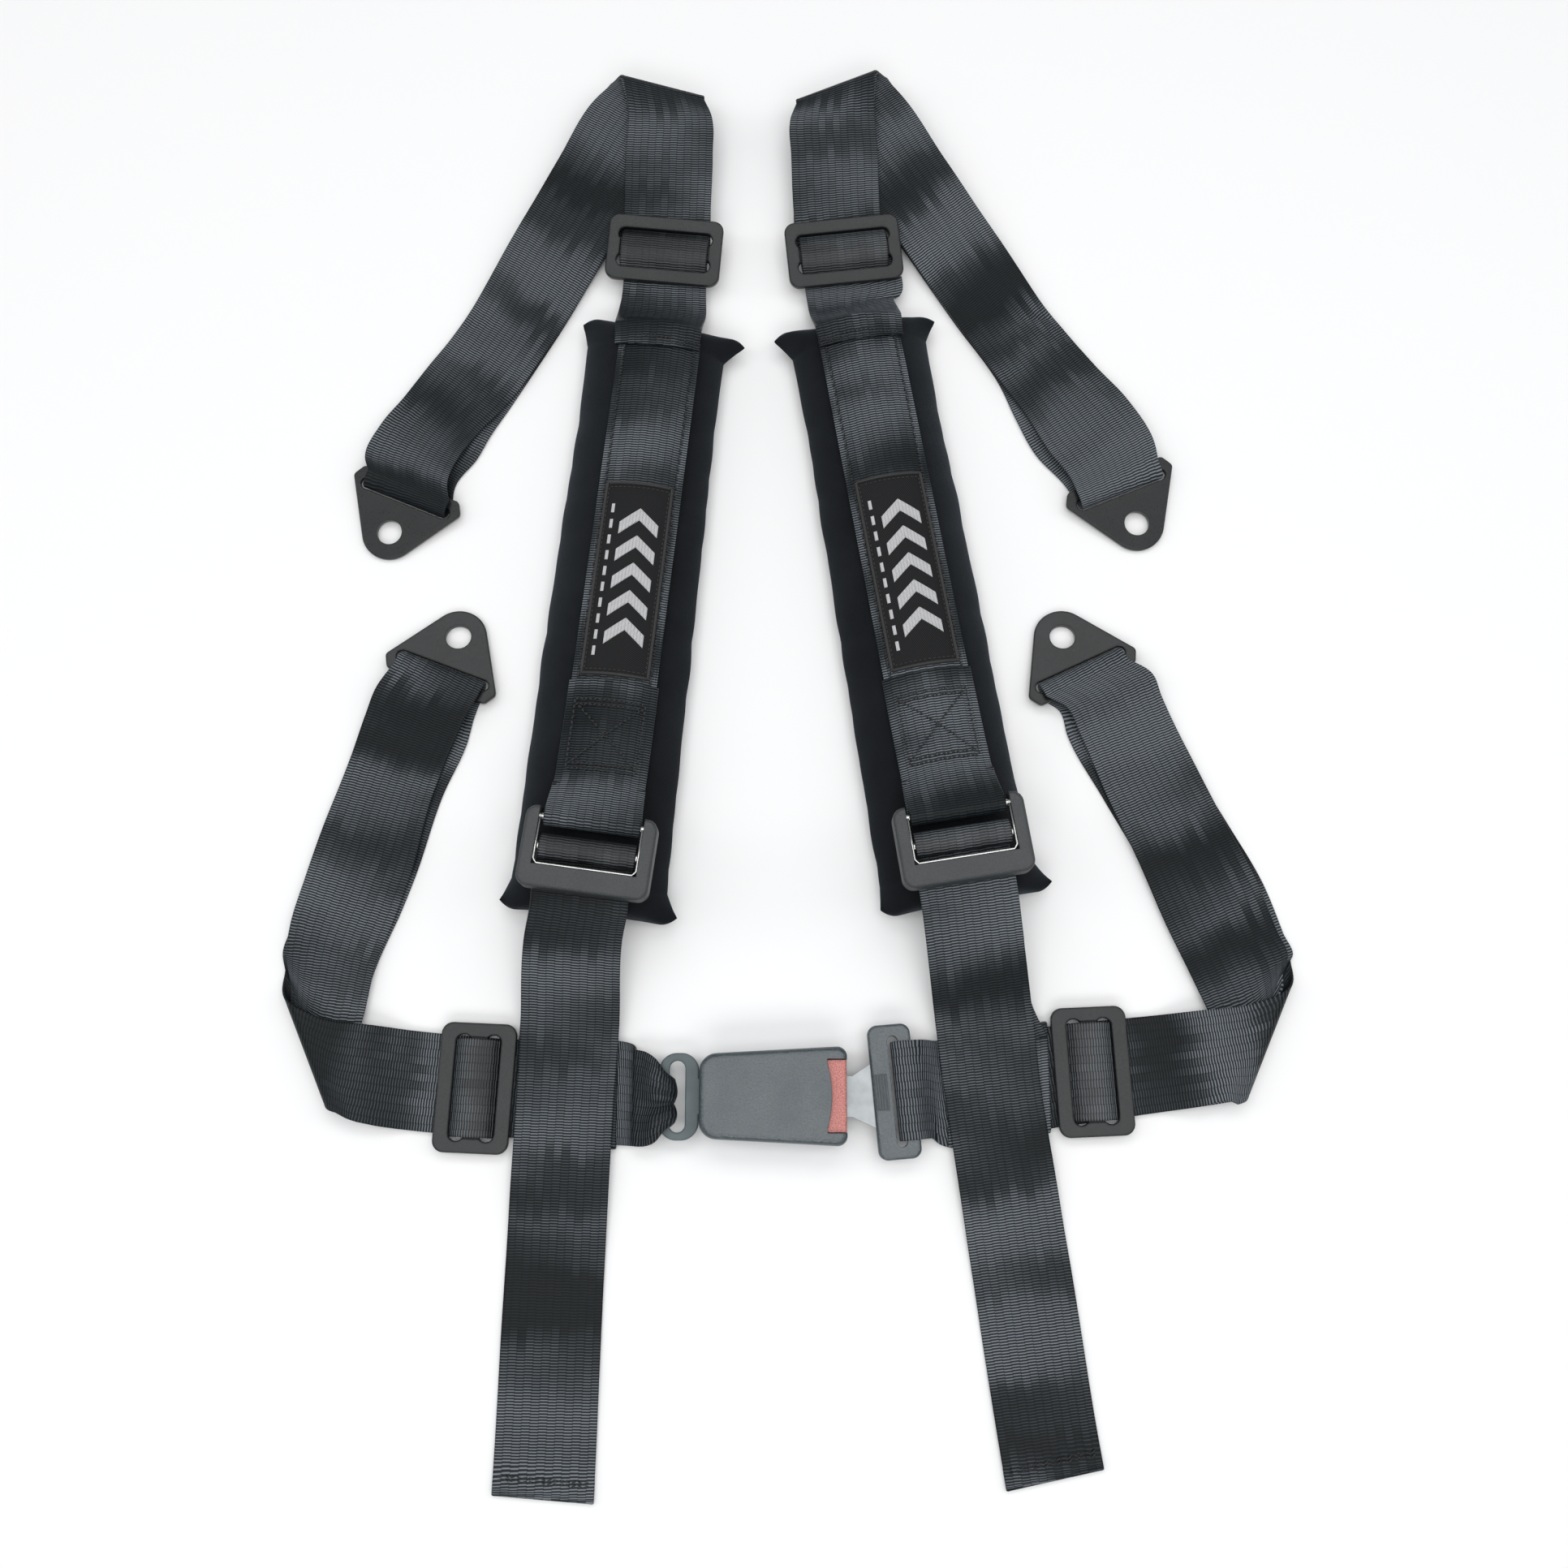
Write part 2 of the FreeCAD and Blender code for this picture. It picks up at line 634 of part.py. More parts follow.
def button_springs():
    """Two springs that push the button back out."""
    springs = []
    for side in (-1, 1):
        start = FreeCAD.Vector(43.6, side * 16.8, 16.6)
        springs.append(coil(start, FreeCAD.Vector(1, 0, 0), 6.0, 0.9, 0.2, 5))
    return Part.makeCompound(springs)


def tongue_slot(cover_spot):
    """The webbing slot through the tongue plate and its cover, in buckle position."""
    slot = stadium(56.0, 2.8, 0, 1.5, -20, 20)
    return placed(slot, cover_spot, TONGUE_COVER_TURN - 90)


def tongue_plate(cover_spot):
    """Steel tongue: a blade with a latch window that widens to the webbing slot."""
    v = FreeCAD.Vector
    z0 = TONGUE_BASE
    blade = box(38, 79, -10.2, 10.2, z0, z0 + TONGUE_PLATE)
    tip = [e for e in blade.Edges if e.BoundBox.ZLength > 1 and e.BoundBox.XMax < 39]
    blade = blade.makeFillet(4.0, tip)
    flare = [v(78, -10.2, 0), v(93, -17, 0), v(93, 20, 0), v(78, 10.2, 0)]
    flare_solid = Part.Face(Part.makePolygon(flare + flare[:1])).extrude(v(0, 0, TONGUE_PLATE))
    flare_solid.translate(v(0, 0, z0))
    foot = placed(
        rounded_slab(-31, 31, -8.5, 8.5, z0, z0 + TONGUE_PLATE, 4.0),
        cover_spot,
        TONGUE_COVER_TURN - 90,
    )
    window = box(44.6, 53.0, -7, 7, z0 - 1, z0 + 5)
    plate = blade.fuse(flare_solid).fuse(foot).cut(window).cut(tongue_slot(cover_spot))
    return plate.removeSplitter()


def tongue_cover(cover_spot, plate):
    """Moulded cover round the wide end of the tongue, with grip ribs on top."""
    low = TONGUE_BASE - 2.0
    high = TONGUE_BASE + TONGUE_PLATE + 2.4
    body = rounded_slab(-34, 34, -11, 11, low, high, 5.0)
    body = soften(body, 1.8)
    for k in range(5):
        y = -9.6 + 1.4 * k
        body = body.fuse(box(-9, 9, y, y + 0.7, high - 0.3, high + 0.5))
    body = placed(body, cover_spot, TONGUE_COVER_TURN - 90)
    return body.cut(tongue_slot(cover_spot)).cut(plate).removeSplitter()


# ---------------------------------------------------------------- layout

# Each side: where its pieces lie. Edge lists give left x, y, right x, y, height.
SHOULDERS = {
    "left": {
        "bracket": (-209.8, 168.7, -22.5),
        "rear": [
            (-98, 420, -46, 405, 11.0),
            (-132, 373, -70, 367, 9.0),
            (-159, 321, -100, 316, 5.0),
            (-187, 269, -128, 264, FLOOR_GAP),
            (-204, 242, -147, 236, FLOOR_GAP),
            (-225, 209, -170, 203, FLOOR_GAP),
            (-236, 186, -188, 168, 3.6),
        ],
        "under_shift": 7.0,
        "fold": ((-98, 420), (-46, 405)),
        "front": [(-94, 373, -43, 373), (-94, 338, -43, 338), (-96, 286, -45, 286)],
        "slide": (-69.0, 313.0, -5.2),
        "pad": (-68.0, 258.0, -6.05),
        "adjuster_turn": -7.8,
        "tail": [
            (-133, -84, -83, -84, 26.0),
            (-136, -132, -86, -132, 7.5),
            (-137.3, -165, -87.3, -165, PLY_4),
            (-138.5, -198, -88.5, -198, PLY_4),
            (-140.5, -250, -90.5, -250, 0.5),
            (-143, -358, -93, -362, FLOOR_GAP),
        ],
        "run_shift": -4.0,
        "loop": (-137.5, -86.0, (-136.8, -139.8), (-186.9, -190.2)),
        "slide_range": (-8.0, 25.0),
        "belt_range": (0.0, 8.0),
    },
    "right": {
        "bracket": (186.7, 174.0, 22.5),
        "rear": [
            (5, 404, 56, 423, 11.0),
            (34, 367, 97, 374, 9.0),
            (64, 322, 126, 323, 5.0),
            (96, 272, 158, 272, FLOOR_GAP),
            (111, 247, 177, 246, FLOOR_GAP),
            (133, 212, 200, 212, FLOOR_GAP),
            (163, 173, 211, 190, 3.6),
        ],
        "under_shift": -7.0,
        "fold": ((5, 404), (56, 423)),
        "front": [(4, 373, 55, 373), (5, 338, 56, 338), (13, 286, 65, 286)],
        "slide": (34.5, 312.5, 6.0),
        "pad": (40.0, 262.0, 9.7),
        "adjuster_turn": 9.0,
        "tail": [
            (70, -84, 120, -84, 26.0),
            (78, -132, 128, -132, 7.5),
            (82.5, -165, 132.5, -165, PLY_4),
            (87, -198, 137, -198, PLY_4),
            (94.5, -252, 144, -246, 0.5),
            (108.5, -353, 157, -343, FLOOR_GAP),
        ],
        "run_shift": 4.0,
        "loop": (84.0, 136.8, (-136.8, -129.6), (-189.3, -181.9)),
        "slide_range": (-8.0, 25.0),
        "belt_range": (-2.5, 0.0),
    },
}

LAPS = {
    "left": {
        "bracket": (-188.8, 56.3, 159.0),
        "rear": [
            (-257, -107, -227, -171, 1.5),
            (-259, -82, -208, -110, 0.8),
            (-255, -61, -205, -72, FLOOR_GAP),
            (-244, -16, -194, -22, FLOOR_GAP),
            (-231, 22, -181, 10, FLOOR_GAP),
            (-220, 49, -172, 33, 3.6),
        ],
        "under_shift": 8.0,
        "fold": ((-257, -107), (-227, -171)),
        "front": [
            (-214, -131, -214, -180, 6.0, DOUBLE),
            (-191, -133.7, -191, -183, FLOOR_GAP, DOUBLE),
            (-148, -136.3, -148, -186, FLOOR_GAP, DOUBLE),
            (-147, -136.4, -147, -186.1, PLY_2, PLY),
            (-77, -140.7, -77, -190.8, PLY_2, PLY),
        ],
        "belt": (1.0, -0.062),
        "slide": (-159.0, -161.5, -92.6),
        "slide_range": (-12.0, 0.0),
    },
    "right": {
        "bracket": (164.6, 57.1, -155.0),
        "rear": [
            (231, -167, 261, -107, 1.5),
            (212, -110, 263, -82, 0.8),
            (208, -72, 258, -61, FLOOR_GAP),
            (193, -22, 243, -16, FLOOR_GAP),
            (174, 10, 225, 22, FLOOR_GAP),
            (151, 34, 198, 54, 3.6),
        ],
        "under_shift": -8.0,
        "fold": ((231, -167), (261, -107)),
        "front": [
            (214, -172, 214, -120.5, 6.0, DOUBLE),
            (191, -174.2, 191, -123.2, FLOOR_GAP, DOUBLE),
            (147, -180.2, 147, -128.9, FLOOR_GAP, DOUBLE),
            (146, -180.4, 146, -129, PLY_2, PLY),
            (79.5, -189.7, 79.5, -137.5, PLY_2, PLY),
        ],
        "belt": (1.0, 0.138),
        "slide": (159.0, -153.2, -87.4),
        "slide_range": (-12.0, 0.0),
    },
}

FOLD_RADIUS = 1.6
SHOULDER_SLOPE = 0.115
SHOULDER_SLIDE_Z = 7.5


def shoulder_level(y):
    """The underside of a shoulder strap where it slopes down from the fold to the slide."""
    return SHOULDER_SLIDE_Z + SHOULDER_SLOPE * (y - 313.0)


def fold_away(edges):
    """Outwards from a fold line, away from the strap that comes to it."""
    x0, y0, x1, y1, _ = edges[0]
    line = FreeCAD.Vector(x1 - x0, y1 - y0, 0)
    out = FreeCAD.Vector(-line.y, line.x, 0)
    strap = at(edges[2][0], edges[2][1]) - at(x0, y0)
    if out.dot(strap) > 0:
        out = out * -1
    out.normalize()
    return out


def bracket_spot(side):
    x, y, _ = side["bracket"]
    return at(x, y, BAR_HEIGHT)


def pad_spot(side):
    x, y, turn = side["pad"]
    return at(x, y), turn


def adjuster_spot(side):
    """Where the adjuster stands, on the lower end of the pad."""
    spot, turn = pad_spot(side)
    return moved(FreeCAD.Vector(0, -ADJUSTER_AT, ADJUSTER_BASE), spot, turn)


def slide_spot(side, level, slope):
    x, y, _ = side["slide"]
    return at(x, y, level + DOUBLE * math.sqrt(1 + slope**2) + GAP)


def shoulder_front(side):
    """From the fold, down through the slide and up over the top edge of the pad."""
    low = side["rear"][0][4]
    stations = []
    for x0, y0, x1, y1 in side["front"]:
        level = shoulder_level(y0)
        stations.append(station(at(x0, y0, level), at(x1, y1, level), UP, DOUBLE))
    x0, y0, x1, y1 = side["front"][-1]
    single = shoulder_level(y0 - 1) + PLY + GAP
    stations.append(station(at(x0, y0 - 1, single), at(x1, y1 - 1, single)))
    spot, turn = pad_spot(side)
    for y, z, normal_y in ((19, 4.9, 0.4), (6, 17, 0.8), (-1, 27.5, 0.7), (-6, 31.8, 0.2)):
        left = moved(FreeCAD.Vector(-HALF_WEB, y, z), spot, turn)
        right = moved(FreeCAD.Vector(HALF_WEB, y, z), spot, turn)
        normal = moved(FreeCAD.Vector(0, normal_y, 1), FreeCAD.Vector(0, 0, 0), turn)
        stations.append(station(left, right, normal))
    end = -SLEEVE_FROM + GAP
    left = moved(FreeCAD.Vector(-HALF_WEB, end, PAD_TOP + 0.4), spot, turn)
    right = moved(FreeCAD.Vector(HALF_WEB, end, PAD_TOP + 0.4), spot, turn)
    stations.append(station(left, right))
    away = fold_away(side["rear"])
    return folded_front(side["fold"][0], side["fold"][1], away, low, FOLD_RADIUS, stations)


def over_pad_end(side, level, shift):
    """Cross-sections of a band under the adjuster and over the lower end of the pad."""
    spot, turn = pad_spot(side)
    stations = []
    for y, drop in ((-ADJUSTER_AT - 5, 0.0), (-PAD_LENGTH + 9, 0.0), (-PAD_LENGTH - 2, 2.0)):
        ends = []
        for x in (-HALF_WEB, HALF_WEB):
            ends.append(moved(FreeCAD.Vector(x + shift, y, level - drop), spot, turn))
        stations.append(station(ends[0], ends[1]))
    return stations


def adjuster_loop(side):
    """Webbing from the sleeve, over the adjuster's rear bar and back under itself."""
    v = FreeCAD.Vector
    spot, turn = pad_spot(side)
    stand = adjuster_spot(side)
    bar_ends = []
    for x in (-HALF_WEB, HALF_WEB):
        bar_ends.append(moved(v(x, REAR_BAR_Y, REAR_BAR_Z), stand, side["adjuster_turn"]))
    away = moved(v(0, -1, 0), v(0, 0, 0), side["adjuster_turn"])
    start = -SLEEVE_TO - GAP
    top = PAD_TOP + GAP + PLY + GAP
    under = PAD_TOP + GAP + PLY
    stations = []
    for y, z in ((start, top), (start - 6, top + 1.5)):
        ends = [moved(v(x, y, z), spot, turn) for x in (-HALF_WEB, HALF_WEB)]
        stations.append(station(ends[0], ends[1]))
    stations += bend(bar_ends[0], bar_ends[1], away, REAR_BAR_R + GAP, 105, -80, 8)
    for y in (start - 8, start):
        ends = [moved(v(x, y, under), spot, turn) for x in (-HALF_WEB, HALF_WEB)]
        stations.append(station(ends[0], ends[1], DOWN))
    return band(stations)


def adjusting_strap(side):
    """Free end of the adjusting webbing, from the adjuster over the lap belt."""
    stations = over_pad_end(side, PAD_TOP + PLY + 2 * GAP, 0.0)
    for x0, y0, x1, y1, z in side["tail"]:
        stations.append(station(at(x0, y0, z), at(x1, y1, z)))
    return band(stations)


def anchor_strap(side):
    """Webbing from the adjuster down to the sewn loop, beneath the free end."""
    shift = side["run_shift"]
    stations = over_pad_end(side, PAD_TOP + GAP, shift)
    x0, y0, x1, y1, z = side["tail"][0]
    stations.append(
        station(at(x0 + shift, y0, z - PLY - 1.0), at(x1 + shift, y1, z - PLY - 1.0))
    )
    left_x, right_x, (top_0, top_1), _ = side["loop"]
    start = 2.6
    stations.append(station(at(left_x, top_0 + start, PLY_3), at(right_x, top_1 + start, PLY_3)))
    return band(stations)


def lap_front(side, tail_stations):
    """From the fold, under the slide and through the sewn loop to the buckle or tongue."""
    low = side["rear"][0][4]
    stations = []
    for x0, y0, x1, y1, z, thickness in side["front"]:
        stations.append(station(at(x0, y0, z), at(x1, y1, z), UP, thickness))
    away = fold_away(side["rear"])
    fold = side["fold"]
    return folded_front(fold[0], fold[1], away, low, FOLD_RADIUS, stations + tail_stations)


def anchor_end():
    """Bunched end of the left lap webbing, looped through the anchor plate."""
    v = FreeCAD.Vector
    spot = buckle_spot()
    z0 = TONGUE_BASE - 0.3
    top = z0 + 2.2 + GAP
    run = [
        (-22.0, 17.0, top, v(-0.3, 0, 1)),
        (-15.9, 14.8, top, v(0.4, 0, 1)),
        (-15.2, 14.5, z0 + 1.9, v(1, 0, 0.4)),
        (-15.2, 14.5, z0 + 0.3, v(1, 0, -0.4)),
        (-15.9, 14.8, z0 - GAP, v(0.4, 0, -1)),
        (-21.5, 17.0, z0 - GAP, v(-0.1, 0, -1)),
        (-30.0, 20.0, 5.6, v(-0.2, 0, -1)),
    ]
    stations = []
    for x, half, z, normal in run:
        stations.append(station(spot + v(x, half, z), spot + v(x, -half, z), normal, 1.6))
    return stations


def tongue_end():
    """End of the right lap webbing, looped through the slot of the tongue."""
    v = FreeCAD.Vector
    spot = at(TONGUE_COVER_X, TONGUE_COVER_Y)
    turn = TONGUE_COVER_TURN - 90
    low = TONGUE_BASE - 2.0 - GAP
    high = TONGUE_BASE + TONGUE_PLATE + 2.4 + GAP
    run = [
        (12.0, high, v(0, 0.5, 1)),
        (4.4, high, v(0, -0.4, 1)),
        (3.9, high - 0.9, v(0, -1, 0.4)),
        (3.9, low + 0.9, v(0, -1, -0.4)),
        (4.4, low, v(0, -0.4, -1)),
        (11.5, low, v(0, 0.2, -1)),
        (19.5, 4.2, v(0, 0.2, -1)),
    ]
    stations = []
    for y, z, normal in run:
        left = moved(v(HALF_WEB, y, z), spot, turn)
        right = moved(v(-HALF_WEB, y, z), spot, turn)
        aim = moved(normal, v(0, 0, 0), turn)
        stations.append(station(left, right, aim))
    return stations


def shoulder_parts(name, side):
    """All the pieces of one shoulder strap, keyed by node name."""
    spot, turn = pad_spot(side)
    parts = {
        "shoulder_bracket": placed(bracket(), bracket_spot(side), side["bracket"][2], BRACKET_TILT),
        "shoulder_strap_rear": doubled_strap(
            side["rear"], side["under_shift"], bracket_spot(side), side["bracket"][2]
        ),
        "shoulder_strap_front": shoulder_front(side),
        "shoulder_pad": placed(pad(), spot, turn),
        "pad_sleeve": placed(sleeve(), spot, turn),
        "pad_patch": placed(patch(), spot, turn),
        "adjuster_loop": adjuster_loop(side),
        "adjusting_strap": adjusting_strap(side),
        "anchor_strap": anchor_strap(side),
        "lap_loop": lap_loop(*side["loop"]),
    }
    tilt = math.degrees(math.atan(SHOULDER_SLOPE))
    rest = slide_spot(side, shoulder_level(side["slide"][1]), SHOULDER_SLOPE)
    for node, shape in (("shoulder_slide", slide()), ("shoulder_slide_webbing", slide_webbing())):
        turned = placed(shape, FreeCAD.Vector(0, 0, 0), side["slide"][2])
        parts[node] = placed(turned, rest, 0.0, tilt)
    stand = adjuster_spot(side)
    frame = adjuster_frame()
    adjuster = {
        "adjuster_frame": frame,
        "adjuster_cover": adjuster_cover(frame),
        "adjuster_bar": float_bar(),
        "adjuster_bar_webbing": float_bar_webbing(),
    }
    for node, shape in adjuster.items():
        parts[node] = placed(shape, stand, side["adjuster_turn"])
    return {name + "_" + node: shape for node, shape in parts.items()}


def lap_parts(name, side, end_stations):
    """All the pieces of one lap strap, keyed by node name."""
    rest = slide_spot(side, FLOOR_GAP, 0.0)
    turn = side["slide"][2]
    parts = {
        "lap_bracket": placed(bracket(), bracket_spot(side), side["bracket"][2], BRACKET_TILT),
        "lap_strap_rear": doubled_strap(
            side["rear"], side["under_shift"], bracket_spot(side), side["bracket"][2]
        ),
        "lap_strap_front": lap_front(side, end_stations),
        "lap_slide": placed(slide(), rest, turn),
        "lap_slide_webbing": placed(slide_webbing(), rest, turn),
    }
    return {name + "_" + node: shape for node, shape in parts.items()}


def buckle_parts():
    """The buckle and the tongue, keyed by node name."""
    local = {
        "anchor_plate": anchor_plate(),
        "anchor_rivet": anchor_rivet(),
        "buckle_frame": buckle_frame(),
        "buckle_cover_upper": buckle_cover_upper(),
        "buckle_cover_lower": buckle_cover_lower(),
        "buckle_screws": cover_screws(),
        "release_button": button(),
        "button_springs": button_springs(),
        "latch": latch(),
        "ejector": ejector(),
        "ejector_spring": ejector_spring(),
    }
    cover_spot = at(TONGUE_COVER_X, TONGUE_COVER_Y) - buckle_spot()
    plate = tongue_plate(cover_spot)
    local["tongue_plate"] = plate
    local["tongue_cover"] = tongue_cover(cover_spot, plate)
    return {node: placed(shape, buckle_spot()) for node, shape in local.items()}


def all_parts():
    """Every node of the harness."""
    parts = {}
    for name, side in SHOULDERS.items():
        parts.update(shoulder_parts(name, side))
    for name, side in LAPS.items():
        ends = anchor_end() if name == "left" else tongue_end()
        parts.update(lap_parts(name, side, ends))
    parts.update(buckle_parts())
    return parts


def main():
    os.makedirs("parts", exist_ok=True)
    whole = FreeCAD.BoundBox()
    for node, shape in all_parts().items():
        if not shape.isValid():
            print("not valid:", node)
        whole.add(shape.BoundBox)
        shape.exportStep(os.path.join("parts", node + ".step"))
    print("size", [round(n, 1) for n in (whole.XLength, whole.YLength, whole.ZLength)])
    print("middle", [round(n, 2) for n in (whole.Center.x, whole.Center.y, whole.ZMin)])


if __name__ == "__main__":
    main()
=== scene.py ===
import math

import bpy
import numpy as np
from mathutils import Matrix, Vector


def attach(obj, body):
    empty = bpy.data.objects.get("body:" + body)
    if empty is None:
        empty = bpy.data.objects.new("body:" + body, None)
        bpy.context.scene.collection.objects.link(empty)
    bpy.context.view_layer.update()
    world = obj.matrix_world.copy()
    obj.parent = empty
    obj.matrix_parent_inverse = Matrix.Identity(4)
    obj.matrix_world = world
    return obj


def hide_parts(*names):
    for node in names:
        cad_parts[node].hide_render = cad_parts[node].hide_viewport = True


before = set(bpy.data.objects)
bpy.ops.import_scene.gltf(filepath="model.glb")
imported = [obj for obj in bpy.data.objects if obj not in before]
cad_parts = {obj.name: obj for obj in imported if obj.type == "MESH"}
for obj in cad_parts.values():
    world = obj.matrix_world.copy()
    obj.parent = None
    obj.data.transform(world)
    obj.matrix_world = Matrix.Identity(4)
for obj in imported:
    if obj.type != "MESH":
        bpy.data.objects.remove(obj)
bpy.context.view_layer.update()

# Racing harness laid out flat. Lengths are millimetres until they go into a mesh.
# Plan positions are written from the same mark as the CAD layout.

MM = 0.001
MARK = (2.0, 32.5)
HALF = 25.0
PLY = 1.3
FLOOR = 0.2
COLUMN = 4.2
RIB = 1.4
GAP = 0.3
DOUBLE = 2.9
TURN = 2 * math.pi
RISING = np.array([0.0, 0.0, 1.0])

# Middle heights of the lower and the upper of two plies, from the face that they lie on.
UNDER = 0.65
OVER = 2.25

# The shoulder straps slope down from their folds to the slides.
SLIDE_Y = 313.0
SHOULDER_SLIDE_Z = 7.5
SHOULDER_SLOPE = 0.115

# Where webbing turns: half the height of each bend, and its reach where that differs.
FOLD_OUTER = 3.85
FOLD_INNER = 2.25
BRACKET_LOOP = 4.35
BRACKET_REACH = 8.1
LOOP_MIDDLE = 2.45
LOOP_RADIUS = 1.6


def at(x, y, z=0.0):
    """A layout position in the frame, in millimetres."""
    return np.array([x - MARK[0], y - MARK[1], z], float)


def rotation(degrees, axis):
    """A turn about X or Z."""
    return np.array(Matrix.Rotation(math.radians(degrees), 3, axis))


class Place:
    """A local frame standing at a layout position."""

    def __init__(self, spot, turn=0.0, tilt=0.0):
        self.spot = np.asarray(spot, float)
        self.matrix = rotation(tilt, "X") @ rotation(turn, "Z")

    def __call__(self, points):
        return np.asarray(points, float) @ self.matrix.T + self.spot

    def aim(self, direction):
        return np.asarray(direction, float) @ self.matrix.T


# ------------------------------------------------------------ layout

SHOULDERS = {
    "left": {
        "bracket": (-209.8, 168.7, -22.5),
        "rear": [
            (-98.6, 421.6, -48.5, 407, 11.0, 0),
            (-111.5, 411, -57, 390, 10.6, 0),
            (-132, 373, -72, 364, 9.0, 0),
            (-159, 321, -102, 315, 5.0, 0),
            (-187, 269, -132, 262, FLOOR, 0),
            (-202.5, 246, -158, 220.5, FLOOR, 2),
            (-216.5, 225, -174, 202, 0.8, 7),
            (-228, 208, -182.5, 189, 3.0, 9),
            (-235.5, 186.5, -188.5, 171.5, 3.6, 3),
        ],
        "front": [
            (-90.8, 397, -42.4, 396),
            (-92.2, 373, -41.6, 373),
            (-92.8, 338, -42.6, 338),
            (-93.6, 286, -45, 286),
        ],
        "slide": (-69.0, 313.0, -5.2),
        "pad": (-68.0, 258.0, -6.05),
        "pad_left": [47.4, 43.0, 41.8, 42.8, 42.8, 42.8, 42.0, 47.0],
        "pad_right": [46.0, 34.6, 34.4, 35.6, 36.6, 38.2, 39.6, 47.0],
        "pad_end": (-8.6, -4.2),
        "adjuster": -7.8,
        "tail": [
            (-132.8, -84, -82.2, -84, 26.0),
            (-136.3, -132, -85.2, -132, 7.5),
            (-137.3, -165, -87.3, -165, 5.0),
            (-138.5, -198, -88.5, -198, 5.0),
            (-140.5, -250, -90.5, -250, 0.5),
            (-142.6, -340, -92.6, -344, 0.9),
            (-143, -356, -93, -360, 1.8),
        ],
        "run_shift": -0.6,
        "tail_shift": -2.0,
        "loop": (-137.5, -86.0, (-136.8, -139.8), (-186.9, -190.2)),
    },
    "right": {
        "bracket": (186.7, 174.0, 22.5),
        "rear": [
            (9, 404.8, 57.2, 425.2, 11.0, 0),
            (21.5, 388.5, 71.5, 411, 10.6, 0),
            (36, 366, 93.3, 374, 9.0, 0),
            (67, 321, 125, 323, 5.0, 0),
            (100, 271, 156, 274, FLOOR, 0),
            (125, 233, 166.3, 260.6, FLOOR, -1),
            (138, 213, 179, 244, 0.8, -6),
            (150, 190.5, 195, 223, 3.0, -7),
            (161, 173, 208.5, 196, 3.6, -3),
        ],
        "front": [
            (3.8, 394, 52.9, 398),
            (4.2, 373, 54.6, 373),
            (5.6, 338, 55.6, 338),
            (13, 286, 65, 286),
        ],
        "slide": (34.5, 312.5, 6.0),
        "pad": (40.0, 262.0, 9.7),
        "pad_left": [46.0, 37.2, 36.6, 38.0, 39.8, 42.0, 43.0, 45.6],
        "pad_right": [46.6, 39.4, 38.0, 38.6, 38.4, 38.0, 38.2, 46.3],
        "pad_end": (-7.0, -3.8),
        "adjuster": 9.0,
        "tail": [
            (72.2, -84, 122.4, -84, 26.0),
            (78.6, -132, 129.4, -132, 7.5),
            (82.5, -165, 132.5, -165, 5.0),
            (87, -198, 137, -198, 5.0),
            (94.5, -252, 144, -246, 0.5),
            (106.0, -336, 154.4, -327, 0.9),
            (108.7, -354.2, 156.9, -344.2, 1.8),
        ],
        "run_shift": 0.6,
        "tail_shift": -1.2,
        "loop": (84.0, 136.8, (-136.8, -129.6), (-189.3, -181.9)),
    },
}

LAPS = {
    "left": {
        "bracket": (-188.8, 56.3, 159.0),
        "rear": [
            (-257.5, -110.5, -231, -169.5, 1.5, 0),
            (-261.2, -92, -219, -126, 1.4, -2.6),
            (-260.3, -78, -214, -98, 0.8, 0),
            (-254, -51, -204, -68.5, FLOOR, 1.5),
            (-249.2, -33, -198.5, -51, FLOOR, 2),
            (-234.1, 14.6, -188.7, -6.1, FLOOR, 5),
            (-226.8, 38.3, -178, 22.6, 2.5, 6),
            (-222, 51, -172, 36, 3.6, 3),
        ],
        "inner": (-254.5, -116, -231, -169.5),
        "slips": (21.0, 10.0, 18.0, 5.0),
        "front": [
            (-238, -126.5, -222.4, -177.3, 7.4),
            (-214, -129.6, -212, -180, 6.2),
            (-191, -132.4, -191, -183, FLOOR),
            (-148, -136.3, -148, -186, FLOOR),
            (-77, -140.7, -77, -190.8, FLOOR),
        ],
        "slide": (-159.0, -161.5, -92.6),
    },
    "right": {
        "bracket": (164.6, 57.1, -155.0),
        "rear": [
            (233.8, -165.5, 262, -104.5, 1.5, 0),
            (221.5, -124, 264.3, -94, 1.4, 3.0),
            (214, -106, 260, -81, 0.8, 3.6),
            (201.6, -77, 251.5, -56, FLOOR, 4),
            (189.3, -45, 236.6, -23, FLOOR, 2),
            (174, -8.2, 220.2, 13.6, FLOOR, -2),
            (160.1, 26.8, 205.3, 47.9, 2.5, -6),
            (153.3, 40.5, 200.7, 59.5, 3.6, -3),
        ],
        "inner": (233.8, -165.5, 258, -108),
        "slips": (20.0, 10.0, 16.0, 5.0),
        "front": [
            (228.5, -168.7, 244, -118.6, 7.4),
            (214, -171, 214, -122.4, 6.2),
            (191, -174.2, 191, -124.6, FLOOR),
            (147, -180.2, 147, -128.9, FLOOR),
            (79.5, -189.7, 79.5, -137.5, FLOOR),
        ],
        "slide": (159.0, -153.2, -87.4),
    },
}

PAD_LENGTH = 332.0
ADJUSTER_AT = 305.0
ADJUSTER_BASE = 34.6
BUCKLE = at(-43.0, -166.0)
TONGUE = Place(at(56.3, -163.5), -85.0)


def shoulder_level(y):
    """The underside of a shoulder strap where it slopes down from the fold to the slide."""
    return SHOULDER_SLIDE_Z + SHOULDER_SLOPE * (y - SLIDE_Y)


# ------------------------------------------------------------ mesh helpers


